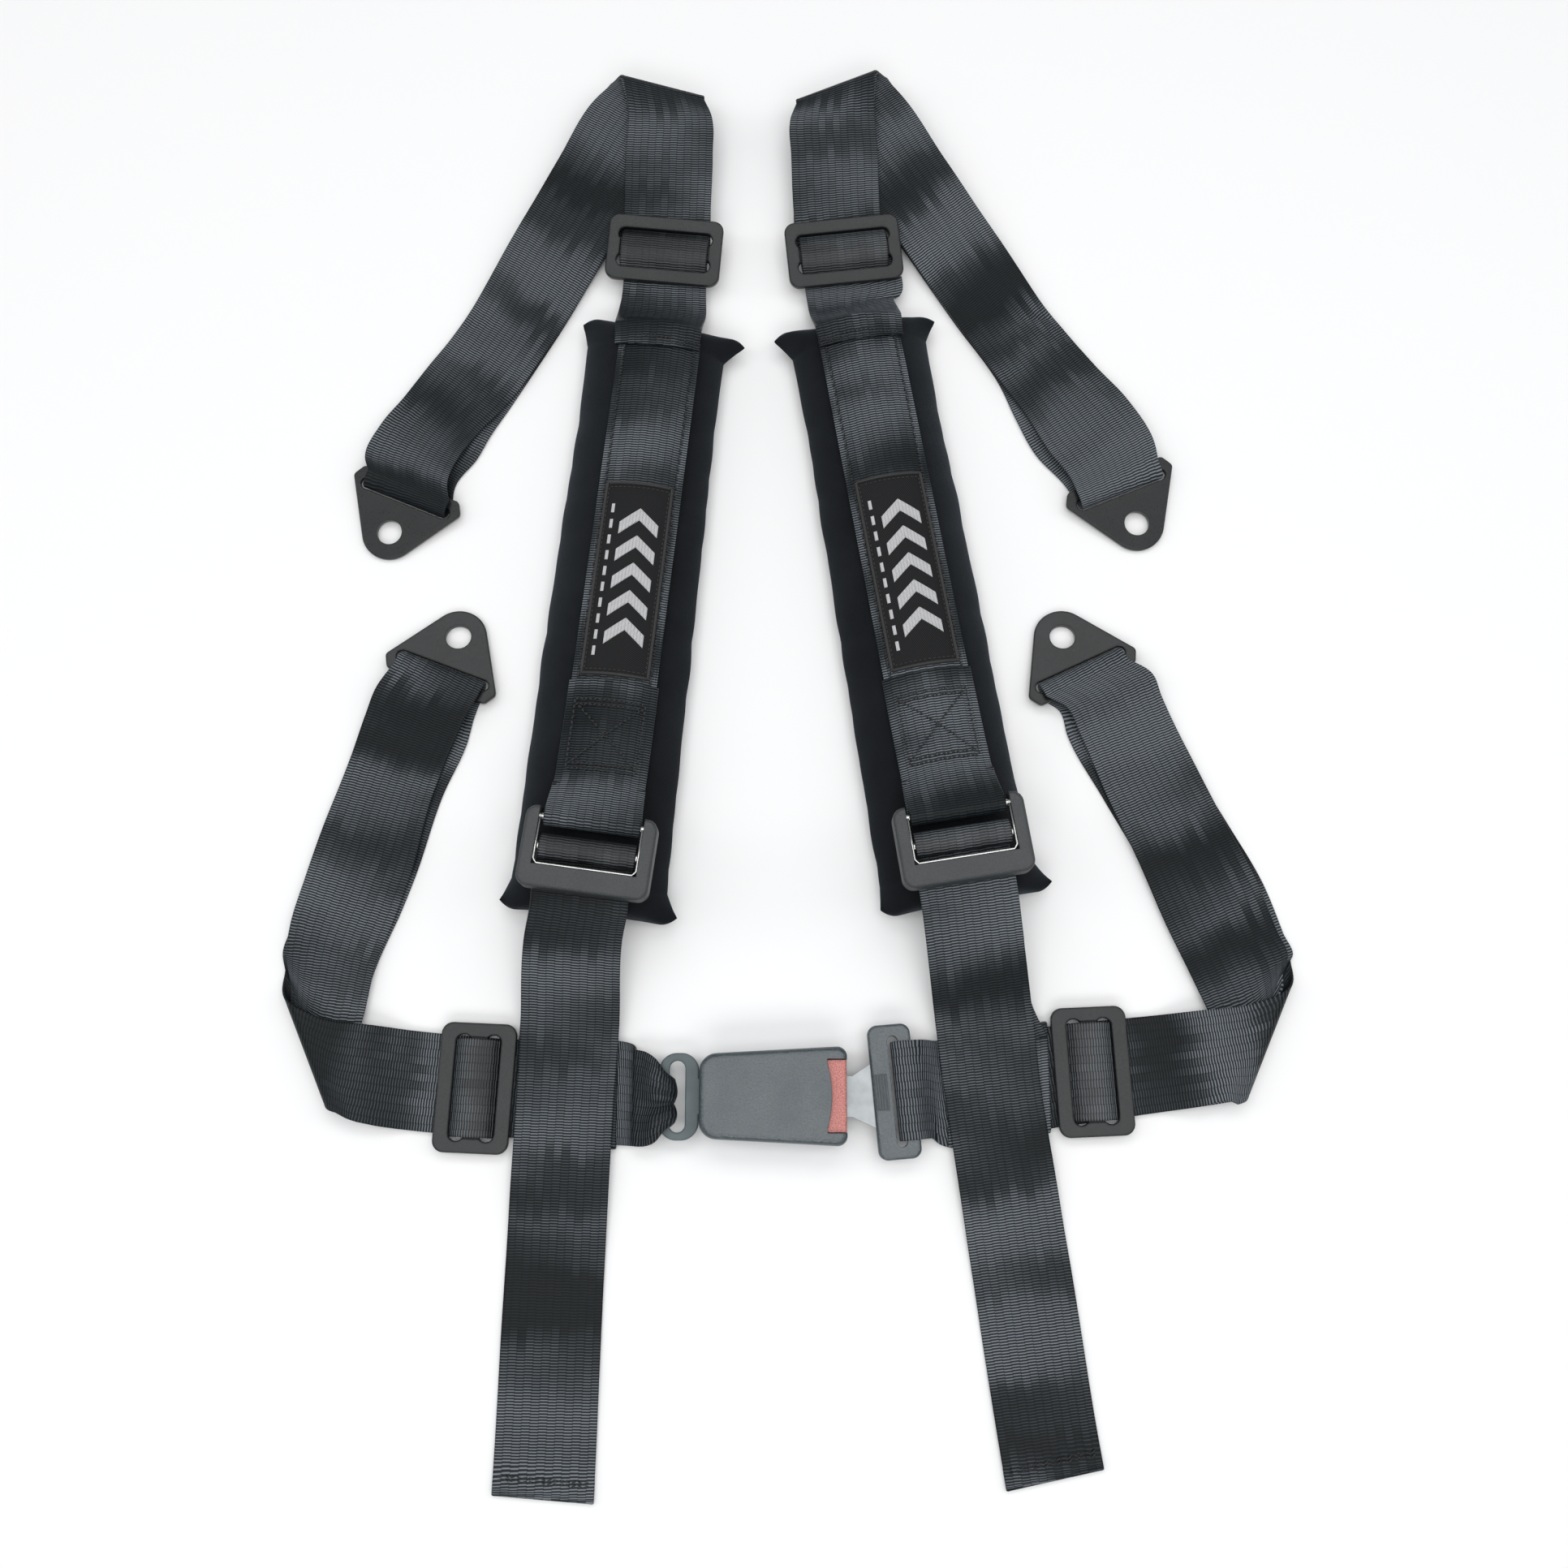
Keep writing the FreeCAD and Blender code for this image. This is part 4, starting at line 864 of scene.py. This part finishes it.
def velour_material():
    """Short black pile with a soft nap."""
    s = Shader("pad_velour_pile", (0.004, 0.0055, 0.008), 0.95, Specular_IOR_Level=0.15)
    pile = s.noise(1500.0, 3.0, 0.65)
    nap = s.noise(45.0, 4.0, 0.6)
    height = s.math("MULTIPLY_ADD", nap, 0.9, pile)
    s.wire(s.bump(height, 0.00035, 0.8), "Normal")
    s.wire(s.ramp(nap, [(0.3, (0.0035, 0.0045, 0.0058)), (0.75, (0.0075, 0.009, 0.0112))]), "Base Color")
    s.set("Sheen Weight", 0.16)
    s.set("Sheen Roughness", 0.45)
    s.set("Sheen Tint", (0.75, 0.87, 1.0, 1))
    return s.material


def thread_material(name, color, rough):
    """Bonded polyester thread."""
    s = Shader(name, color, rough, Specular_IOR_Level=0.5)
    s.wire(s.bump(s.noise(2400.0, 2.0), 0.0001, 0.5), "Normal")
    s.set("Sheen Weight", 0.15)
    return s.material


def twill_material():
    """Dark cloth with a fine diagonal."""
    s = Shader("patch_twill_weave", (0.012, 0.0125, 0.0135), 0.6, Specular_IOR_Level=0.14)
    u, v, _ = s.axes("UV")
    wale = s.ripple(s.math("ADD", s.math("MULTIPLY", u, 40.0), s.math("MULTIPLY", v, 40.0)))
    s.wire(s.bump(s.math("MULTIPLY_ADD", s.noise(2200.0), 0.4, wale), 0.0002, 0.8), "Normal")
    s.wire(s.ramp(wale, [(0.1, 0.006), (0.9, (0.021, 0.0215, 0.0235))]), "Base Color")
    return s.material


def embroidery_material():
    """Silver-grey satin stitch, its threads running across the motif."""
    s = Shader("patch_motif_thread", (0.42, 0.42, 0.43), 0.38, Specular_IOR_Level=0.6)
    strand = s.ripple(s.axes("UV")[0])
    s.wire(s.bump(strand, 0.00022, 0.8), "Normal")
    s.wire(s.ramp(strand, [(0.05, (0.26, 0.26, 0.265)), (0.6, (0.74, 0.74, 0.75))]), "Base Color")
    s.set("Sheen Weight", 0.3)
    return s.material


def coated_steel(name, color, rough):
    """Satin powder coat with a fine orange-peel and worn, slightly lighter edges."""
    s = Shader(name, color, rough, Specular_IOR_Level=0.36)
    peel = s.noise(900.0, 3.0, 0.55)
    broad = s.noise(60.0, 3.0)
    coarse = s.math("MULTIPLY_ADD", broad, 0.3, peel)
    s.wire(s.bump(coarse, 0.00006, 0.6, s.worn_edge(0.0012)), "Normal")
    s.wire(s.ramp(broad, [(0.3, shade(color, 0.82)), (0.7, shade(color, 1.25))]), "Base Color")
    s.wire(s.ramp(peel, [(0.3, rough - 0.05), (0.7, rough + 0.08)]), "Roughness")
    s.set("Coat Weight", 0.12)
    s.set("Coat Roughness", 0.3)
    return s.material


def grained_plastic(name, color, rough, scale=1500.0, depth=0.00016, shine=0.5):
    """Moulded plastic with a fine leather grain."""
    s = Shader(name, color, rough, Specular_IOR_Level=shine)
    cells = s.node("ShaderNodeTexVoronoi", feature="F1")
    cells.inputs["Scale"].default_value = scale
    s.links.new(s.coordinates("Object"), cells.inputs["Vector"])
    speck = s.noise(scale * 1.6, 2.0)
    height = s.math("MULTIPLY_ADD", speck, 0.5, cells.outputs["Distance"])
    s.wire(s.bump(height, depth, 0.7, s.worn_edge(0.0007)), "Normal")
    s.wire(s.ramp(speck, [(0.35, shade(color, 0.75)), (0.7, shade(color, 1.5))]), "Base Color")
    s.wire(s.ramp(s.noise(70.0, 3.0), [(0.3, rough - 0.05), (0.7, rough + 0.06)]), "Roughness")
    return s.material


def plated_steel(name, color, rough, brushed=0.3):
    """Bright plated steel with faint drawn lines and a cloudy film."""
    s = Shader(name, color, rough, 1.0)
    mapping = s.node("ShaderNodeMapping")
    mapping.inputs["Scale"].default_value = (1.0, 14.0, 3.0)
    s.links.new(s.coordinates("Object"), mapping.inputs["Vector"])
    lines = s.noise(420.0, 3.0, 0.6, mapping.outputs["Vector"])
    s.wire(s.bump(lines, 0.00003, brushed), "Normal")
    s.wire(s.ramp(s.noise(150.0, 4.0), [(0.3, shade(color, 0.8)), (0.7, color)]), "Base Color")
    s.wire(s.ramp(lines, [(0.2, rough - 0.06), (0.8, rough + 0.1)]), "Roughness")
    return s.material


WEBBING = webbing_material()
# Lighter copy of the webbing: painted light on the sleeve borders.
LIT_WEBBING = webbing_material("webbing_lit_copy_weave", 1.25)
# Darker copy of the webbing: painted shade on the rolls inside the slides and the adjusters.
SHADED_WEBBING = webbing_material("webbing_shaded_copy_weave", 0.6, 0.4)
VELOUR = velour_material()
TWILL = twill_material()
THREAD = thread_material("webbing_thread", (0.006, 0.0065, 0.007), 0.5)
PIPING = thread_material("patch_piping_thread", (0.012, 0.012, 0.013), 0.55)
MOTIF = embroidery_material()
BLACK_STEEL = coated_steel("black_steel_coat", (0.01, 0.0115, 0.012), 0.3)
GREY_STEEL = coated_steel("grey_steel_coat", (0.085, 0.112, 0.12), 0.36)
BLACK_PLASTIC = grained_plastic("black_plastic_grain", (0.034, 0.038, 0.041), 0.45)
COVER_PLASTIC = grained_plastic("cover_plastic_grain", (0.034, 0.05, 0.058), 0.36, 900.0, 0.0002, 1.0)
RED_PLASTIC = grained_plastic("red_plastic_grain", (0.47, 0.17, 0.15), 0.45, 900.0, 0.00005)
WHITE_PLASTIC = grained_plastic("white_plastic_grain", (0.7, 0.7, 0.66), 0.45, 900.0, 0.00004)
ZINC = plated_steel("zinc_steel_plate", (0.72, 0.72, 0.70), 0.24)
BRIGHT = plated_steel("bright_steel_plate", (0.34, 0.36, 0.37), 0.36, 0.6)
INNER = plated_steel("inner_steel_plate", (0.5, 0.5, 0.49), 0.34)

CAD_MATERIALS = [
    (BLACK_STEEL, "black_steel", ["shoulder_bracket", "lap_bracket", "shoulder_slide", "lap_slide"]),
    (ZINC, "zinc_steel", ["adjuster_frame", "adjuster_bar"]),
    (BLACK_PLASTIC, "black_plastic", ["adjuster_cover"]),
    (COVER_PLASTIC, "black_plastic", ["buckle_cover_upper", "buckle_cover_lower", "tongue_cover"]),
    (RED_PLASTIC, "red_plastic", ["release_button"]),
    (GREY_STEEL, "grey_steel", ["anchor_plate"]),
    (BRIGHT, "bright_steel", ["tongue_plate"]),
    (WHITE_PLASTIC, "white_plastic", ["ejector"]),
]
CAD_LOOKS = {kind: (material, slot) for material, slot, kinds in CAD_MATERIALS for kind in kinds}

for node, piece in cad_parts.items():
    kind = node.removeprefix("left_").removeprefix("right_")
    material, slot = CAD_LOOKS.get(kind, (INNER, "inner_steel"))
    piece.data.materials.clear()
    piece.data.materials.append(material)


def strap_piece(name, rows, body, *nodes, material=WEBBING, **form):
    """A band of webbing that rides a body and stands for CAD nodes."""
    return dress(ribbon(name, rows, **form), material, "webbing", body, *nodes)


# ------------------------------------------------------------ patch

PATCH_HALF = 18.6
PATCH_START = 98.0
PATCH_STOP = 208.0
PATCH_CORNER = 3
SLEEVE_TOP = 1.35
PATCH_TOP = SLEEVE_TOP + 1.1


def patch_cloth(name, pad, body):
    """Dark cloth with rounded corners, bent over the pad."""
    grid_x = np.linspace(-PATCH_HALF, PATCH_HALF, 25)
    grid_t = np.linspace(PATCH_START, PATCH_STOP, 45)
    flank = PATCH_HALF - PATCH_CORNER
    verts, uvs, faces = [], [], []
    for high in (PATCH_TOP, SLEEVE_TOP - 0.3):
        for t in grid_t:
            for x in grid_x:
                corner = max(0.0, abs(x) - flank) ** 2 + max(0.0, abs(t - 153) - 52) ** 2
                px = x
                if corner >= PATCH_CORNER**2:
                    px = math.copysign(flank + (abs(x) - flank) * PATCH_CORNER / math.sqrt(corner), x)
                verts.append((px, -t, pad_top(t, px) + high))
                uvs.append((x / 50, t / 50))
    nx, nt = len(grid_x), len(grid_t)
    for layer, turn in ((0, 1), (nx * nt, -1)):
        for i in range(nt - 1):
            for j in range(nx - 1):
                a = layer + i * nx + j
                faces.append((a, a + nx, a + nx + 1, a + 1)[::turn])
    rim = list(range(nx)) + [i * nx + nx - 1 for i in range(1, nt)]
    rim += [(nt - 1) * nx + j for j in range(nx - 2, -1, -1)] + [i * nx for i in range(nt - 2, 0, -1)]
    for a, b in zip(rim, rim[1:] + rim[:1]):
        faces.append((a, b, b + nx * nt, a + nx * nt))
    cloth = link(name + "_patch_cloth", pad(verts), faces, uvs)
    dress(cloth, TWILL, "patch_twill", body, name + "_pad_patch")


def patch_border(name, pad, body):
    """A cord round the edge of the patch."""
    inset = 0.9
    inner, near, far = PATCH_HALF - inset, PATCH_START + inset, PATCH_STOP - inset
    corners = [(-inner, near), (inner, near), (inner, far), (-inner, far)]
    border = []
    for (x0, t0), (x1, t1) in zip(corners, corners[1:] + corners[:1]):
        for f in np.arange(30) / 30:
            px, t = x0 + (x1 - x0) * f, t0 + (t1 - t0) * f
            border.append((px, -t, pad_top(t, px) + PATCH_TOP + 0.15))
    cord = tube(name + "_patch_piping", pad(border), 0.85, closed=True)
    dress(cord, PIPING, "patch_twill", body)


def motif_corners():
    """Outlines of five chevrons and a dashed line, with how far each stands up."""
    outlines = []
    steps = np.linspace(0, 1, 7)
    for k in range(5):
        t = 113.0 + 15.6 * k
        for sign in (-1, 1):
            for f, g in zip(steps[:-1], steps[1:]):
                x0, x1 = 2.5 + sign * 10.5 * f, 2.5 + sign * 10.5 * g
                t0, t1 = t + 8.5 * f, t + 8.5 * g
                outlines.append((0.7, [(x0, t0), (x1, t1), (x1, t1 + 7.0), (x0, t0 + 7.0)][::sign]))
    for k in range(10):
        t = 111.0 + 9.0 * k
        outlines.append((0.5, [(-13.6, t), (-11.8, t), (-11.8, t + 5.2), (-13.6, t + 5.2)]))
    return outlines


def patch_motif(name, pad, body):
    """The embroidery, each outline a cushion that narrows towards its top."""
    verts, uvs, faces = [], [], []
    for high, corners in motif_corners():
        base, count = len(verts), len(corners)
        middle = np.mean(corners, axis=0)
        for shrink, lift in ((1.0, 0.0), (0.96, 0.75 * high), (0.82, high)):
            for px, t in middle + (np.array(corners) - middle) * shrink:
                verts.append((px, -t, pad_top(t, px) + PATCH_TOP + lift))
                uvs.append((t * 1.9, 0.0))
        faces += ring_faces(3, count, base, flip=True)
        faces.append(tuple(base + 2 * count + j for j in reversed(range(count))))
    motif = link(name + "_patch_motif", pad(verts), faces, uvs)
    dress(motif, MOTIF, "patch_twill", body)


def patch_sewing(name, pad, body):
    """Stitches just inside the patch's border."""
    seam, near, far = 16.4, 101, 205
    lines = [[(sign * seam, t) for t in np.linspace(near, far, 30)] for sign in (-1, 1)]
    lines += [[(px, t) for px in np.linspace(-seam, seam, 12)] for t in (near + 0.2, far - 0.2)]
    pairs = []
    for line in lines:
        raised = [(px, -t, pad_top(t, px) + PATCH_TOP + 0.1) for px, t in line]
        pairs += stitch_line(pad(raised), 2.6, 0.8)
    dress(threads(name + "_patch_stitches", pairs, 0.3), PIPING, "patch_twill", body)


# ------------------------------------------------------------ pieces of webbing


# The crossed box of stitches on the adjuster's loop, and how far it stands above the pad.
BOX_HALF = 18.5
BOX_START = 222.0
BOX_STOP = 260.0
BOX_STAND = 4.55

# The arched hem of the shoulder webbing on the pad, and the sleeve's borders.
HEM_CROWN = 33.85
HEM_ARCH = 6.6
HEM_HALF = 23.8
BORDER_X = 20.8
BORDER_HALF = 1.9


def sleeve_sewing(name, pad, body):
    """Borders along the sleeve, its chain stitches, the hem and the crossed box."""
    pairs = []

    def on_loop(px, t):
        return (px, -t, pad_top(t, 0) + BOX_STAND - loop_bow(t) * (px / HALF) ** 2)

    for sign in (-1, 1):
        rows = []
        for t in np.linspace(15.0, 216.0, 41):
            high = pad_top(t, BORDER_X) + SLEEVE_TOP + 0.45
            edges = [[sign * BORDER_X + out * BORDER_HALF, -t, high - out * 0.5 * sign] for out in (-1, 1)]
            rows.append(row(*pad(edges), 0.0))
        edge = "left" if sign < 0 else "right"
        form = {"thickness": 0.9, "amount": 0.0, "columns": 3}
        # The borders take the lighter copy of the webbing, painted light.
        strap_piece(f"{name}_sleeve_border_{edge}", rows, body, material=LIT_WEBBING, **form)
        for t in np.arange(16.0, 215.0, 1.9):
            high = pad_top(t, 18.9) + 1.9
            pairs.append(pad([[sign * 18.3, -t, high], [sign * 20.0, -t - 0.5, high + 0.25]]))
    for t in (11.0, 13.2):
        line = [(px, -t, HEM_CROWN - HEM_ARCH * (px / HEM_HALF) ** 2) for px in np.linspace(-22, 22, 15)]
        pairs += stitch_line(pad(line), 2.4, 0.8)
    for t in (BOX_START, BOX_START + 3.0, BOX_STOP - 3.0, BOX_STOP):
        line = [on_loop(px, t) for px in np.linspace(-BOX_HALF, BOX_HALF, 14)]
        pairs += stitch_line(pad(line), 2.5, 0.6, 0.45)
    tall = BOX_STOP - BOX_START - 7
    for sign in (-1, 1):
        line = [on_loop(sign * BOX_HALF, t) for t in np.linspace(BOX_START, BOX_STOP, 10)]
        pairs += stitch_line(pad(line), 3.0, 0.8, 0.3)
        shares = np.linspace(0, 1, 14)
        line = [on_loop(sign * (BOX_HALF - 2) * (1 - 2 * f), BOX_START + 3.5 + tall * f) for f in shares]
        pairs += stitch_line(pad(line), 2.8, 0.7, 0.25)
    dress(threads(name + "_sleeve_stitches", pairs, 0.42), THREAD, "webbing", body)


def loop_bow(t):
    """How far the sewn webbing above the adjuster arches across the pad."""
    return float(np.interp(t, [212, 250, 268, 282], [7.2, 6.2, 3.6, 0.8]))


def adjuster_place(side, pad):
    return Place(pad([0, -ADJUSTER_AT, ADJUSTER_BASE]), side["adjuster"])


def adjuster_rows(side, pad):
    """Sewn webbing over the sleeve, over the adjuster's rear bar and back beneath."""
    stand = adjuster_place(side, pad)
    rows = []
    for t in (211.0, 216.0, 235.0, 255.0, 266.0):
        rows.append(local(pad, -t, pad_top(t, 0) + 2.4 + UNDER, 24.0, bow=loop_bow(t)))
    rows.append(local(pad, -275.0, 36.2, 24.6, bow=1.6))
    ends = stand([[-HALF, 16.0, 4.2], [HALF, 16.0, 4.2]])
    rows += bend(*ends, stand.aim([0, -1, 0]), 3.7, 110, -80, 10)
    rows.append(local(pad, -281.0, 33.6, 24.8))
    rows.append(local(pad, -268.0, 32.3, 24.4, bow=1.0))
    return rows


def bar_rows(side, pad):
    """Webbing that rises over the gripping bar and dives again on both sides."""
    stand = adjuster_place(side, pad)
    rows = []
    for k in range(15):
        angle = math.radians(-32 + 244 * k / 14)
        y, z = 1.2 - 5.9 * math.cos(angle), 5.2 + 3.9 * math.sin(angle)
        rows.append(row(*stand([[-HALF, y, z], [HALF, y, z]]), 0.0, turn=1.0))
    return rows


def adjuster_rim(name, side, pad):
    """Bright rim of the adjuster's frame, inside its cover."""
    corner = [(26.5, 15.0), (26.5, -6.6), (24.6, -8.9)]
    line = [(-px, py, 8.9) for px, py in corner] + [(px, py, 8.9) for px, py in corner[::-1]]
    rim = tube(name + "_adjuster_rim", adjuster_place(side, pad)(line), 0.75)
    dress(rim, ZINC, "zinc_steel", name + "_adjuster")


def sleeve_rows(pad):
    """Webbing that lies along the pad and bends over its crown."""
    rows = []
    for t in (9.0, 20.0, 60.0, 110.0, 160.0, 210.0, 250.0, 270.0):
        drop = pad_top(t, 0.0) - pad_top(t, 22.4) - 0.4
        crown = pad_top(t, 0.0) + 0.25 + UNDER
        rows.append(local(pad, -t, crown, 22.4, soft=0.25 if t < 90 else 0.0, bow=drop))
    return rows


def over_pad_end(pad, height, shift):
    """Rows beneath the adjuster and over the lower end of the pad."""
    rows = []
    for t, drop, bow in ((300.0, 0.0, 0.2), (312.0, 0.0, 0.4), (323.0, 0.1, 0.6), (334.0, 2.6, 0.5)):
        rows.append(local(pad, -t, height - drop, HALF, shift, bow=bow))
    return rows


def tail_rows(side, pad):
    """Free end of the adjusting webbing, with its end folded under and sewn."""
    rows = over_pad_end(pad, 33.6, side["tail_shift"])
    for (*line, z), soft in zip(side["tail"], (0.3, 0.5, 0.2, 0.2, 0.8, 0.5, 0.0)):
        rows.append(flat(line, z + UNDER, soft))
    *line, z = side["tail"][-1]
    out = at(*line[:2]) - at(*side["tail"][-2][:2])
    out /= np.linalg.norm(out)
    rows += bend(*level_line(line, z - 0.15), out, 0.8, 90, -90, 6)
    left, right = level_line(line, 0.85)
    rows.append(row(left - out * 9, right - out * 9, 0.0))
    return rows


def run_rows(side, pad):
    """Webbing from the adjuster down to the sewn loop, beneath the free end."""
    shift = side["run_shift"]
    rows = over_pad_end(pad, 31.95, shift + side["tail_shift"])
    *line, z = side["tail"][0]
    rows.append(flat(line, z - 1.9, 0.1, shift))
    left_x, right_x, (top_0, top_1), _ = side["loop"]
    x0, _, x1 = side["tail"][1][:3]
    line = (max(left_x, x0 - 0.5), top_0 + 8.0, min(right_x, x1 + 0.5), top_1 + 8.0)
    rows.append(flat(line, 6.0, 0.0))
    rows.append(flat((left_x, top_0 - 6.0, right_x, top_1 - 6.0), 4.9, 0.0))
    return rows


def belt_loop_rows(side):
    """Sewn loop of webbing round the lap belt."""
    x0, x1, (top_0, top_1), (low_0, low_1) = side["loop"]
    ahead = np.array([0.0, 1.0, 0.0])
    top, low = (x0, top_0, x1, top_1), (x0, low_0, x1, low_1)
    rows = [flat(top, LOOP_MIDDLE + LOOP_RADIUS, 0.0)]
    rows += bend(*level_line(low, LOOP_MIDDLE), -ahead, LOOP_RADIUS, 90, -90, 8)
    rows += bend(*level_line(top, LOOP_MIDDLE), ahead, LOOP_RADIUS, -90, 88, 8)
    return rows


def slide_rows(place):
    """Webbing that rises through a slide and arches over its middle bar."""
    wave = [(-11.4, 0.4), (-10.2, 1.0), (-7.6, 3.1), (-4.0, 4.5), (0.0, 5.0)]
    wave += [(-y, z) for y, z in reversed(wave[:-1])]
    return [local(place, y, z) for y, z in wave]


def tail_sewing(name, side, body):
    """Two rows of stitches across the hem of the free end."""
    rows = side["tail"]
    *edge, z = rows[-1]
    back = at(*rows[-2][:2]) - at(*edge[:2])
    back /= np.linalg.norm(back)
    pairs = []
    for inset in (6.5, 8.2):
        start, stop = (end + back * inset for end in level_line(edge, z + PLY + 0.12))
        line = [start + (stop - start) * f for f in np.linspace(0.05, 0.95, 12)]
        pairs += stitch_line(line, 3.0, 0.8, 0.5)
    dress(threads(name + "_tail_stitches", pairs, 0.32), THREAD, "webbing", body)


for index, (name, side) in enumerate(SHOULDERS.items()):
    body = name + "_shoulder"
    x, y, turn = side["pad"]
    pad = Place(at(x, y), turn)
    ends = (body + "_strap_rear", body + "_strap_front")
    strap_piece(name + "_shoulder_webbing", shoulder_rows(side), body, *ends, seed=11 + index, amount=0.75)

    cushion = pad_mesh(name + "_pad_cushion", pad, side, 21 + index)
    dress(cushion, VELOUR, "pad_velour", body, body + "_pad")
    form = {"seed": 31 + index, "amount": 0.5}
    strap_piece(name + "_pad_sleeve_webbing", sleeve_rows(pad), body, name + "_pad_sleeve", **form)
    sleeve_sewing(name, pad, body)
    patch_cloth(name, pad, body)
    patch_border(name, pad, body)
    patch_motif(name, pad, body)
    patch_sewing(name, pad, body)

    rows = adjuster_rows(side, pad)
    strap_piece(name + "_adjuster_webbing", rows, body, name + "_adjuster_loop", seed=41 + index)
    bar = name + "_adjuster_bar"
    # The grip takes the darker copy of the webbing, painted shade.
    form = {"material": SHADED_WEBBING, "seed": 43 + index}
    strap_piece(name + "_grip_webbing", bar_rows(side, pad), bar, bar + "_webbing", **form)
    form = {"seed": 51 + index, "amount": 0.7}
    strap_piece(name + "_tail_webbing", tail_rows(side, pad), body, name + "_adjusting_strap", **form)
    tail_sewing(name, side, body)
    strap_piece(name + "_run_webbing", run_rows(side, pad), body, name + "_anchor_strap", seed=61 + index)
    rows = belt_loop_rows(side)
    strap_piece(name + "_belt_loop_webbing", rows, body, name + "_lap_loop", seed=63 + index)
    adjuster_rim(name, side, pad)

    x, y, turn = side["slide"]
    rise = shoulder_level(y) + DOUBLE * math.sqrt(1 + SHOULDER_SLOPE**2) + GAP
    place = Place(at(x, y, rise), turn, math.degrees(math.atan(SHOULDER_SLOPE)))
    slide = body + "_slide"
    # The wave takes the darker copy of the webbing, painted shade inside the slide.
    form = {"material": SHADED_WEBBING, "bend_step": 0.6, "step": 0.8}
    strap_piece(slide + "_wave", slide_rows(place), slide, slide + "_webbing", **form)

for index, (name, side) in enumerate(LAPS.items()):
    body = name + "_lap"
    rows = lap_rows(side, anchor_rows() if name == "left" else tongue_rows())
    ends = (body + "_strap_rear", body + "_strap_front")
    strap_piece(name + "_lap_webbing", rows, body, *ends, seed=71 + index, amount=0.75, columns=31)
    x, y, turn = side["slide"]
    rows = slide_rows(Place(at(x, y, FLOOR + DOUBLE + GAP), turn))
    slide = body + "_slide"
    # The wave takes the darker copy of the webbing, painted shade inside the slide.
    strap_piece(slide + "_wave", rows, slide, slide + "_webbing", material=SHADED_WEBBING, step=0.8)

# ------------------------------------------------------------ floor, light, camera

mesh = bpy.data.meshes.new("floor")
mesh.from_pydata([(-6, -6, 0), (6, -6, 0), (6, 6, 0), (-6, 6, 0)], [], [(0, 1, 2, 3)])
floor = bpy.data.objects.new("floor", mesh)
bpy.context.scene.collection.objects.link(floor)
paper = Shader("floor_paper", (0.915, 0.915, 0.915), 0.6, Specular_IOR_Level=0.15)
floor.data.materials.append(paper.material)


def softbox(name, spot, aim, width, length, watts):
    """A rectangular light that faces a point."""
    data = bpy.data.lights.new(name, "AREA")
    data.shape = "RECTANGLE"
    data.size = width
    data.size_y = length
    data.energy = watts
    lamp = bpy.data.objects.new(name, data)
    lamp.location = spot
    lamp.rotation_euler = (Vector(aim) - Vector(spot)).to_track_quat("-Z", "Y").to_euler()
    bpy.context.scene.collection.objects.link(lamp)


softbox("overhead_near", (0.0, -0.3, 2.0), (0, -0.3, 0), 2.4, 1.2, 18.0)
softbox("overhead_far", (0.0, 1.15, 2.0), (0, 0.1, 0), 2.4, 0.8, 13.0)
softbox("front_fill", (0.0, -2.0, 1.9), (0, 0, 0), 2.6, 0.9, 20.0)
softbox("left_fill", (-2.2, 0.3, 1.7), (0, 0, 0), 1.0, 2.0, 12.0)
softbox("right_fill", (2.2, 0.3, 1.7), (0, 0, 0), 1.0, 2.0, 12.0)

world = bpy.data.worlds.new("studio")
world.use_nodes = True
world.node_tree.nodes["Background"].inputs["Color"].default_value = (0.95, 0.97, 1.0, 1)
world.node_tree.nodes["Background"].inputs["Strength"].default_value = 0.27
bpy.context.scene.world = world
bpy.context.scene.view_settings.view_transform = "Standard"

lens = bpy.data.cameras.new("camera")
lens.lens = 36.06
lens.sensor_width = 36.0
camera = bpy.data.objects.new("camera", lens)
camera.location = (-0.002, -0.2206, 0.828)
camera.rotation_euler = (math.radians(12.8), 0, 0)
bpy.context.scene.collection.objects.link(camera)
bpy.context.scene.camera = camera
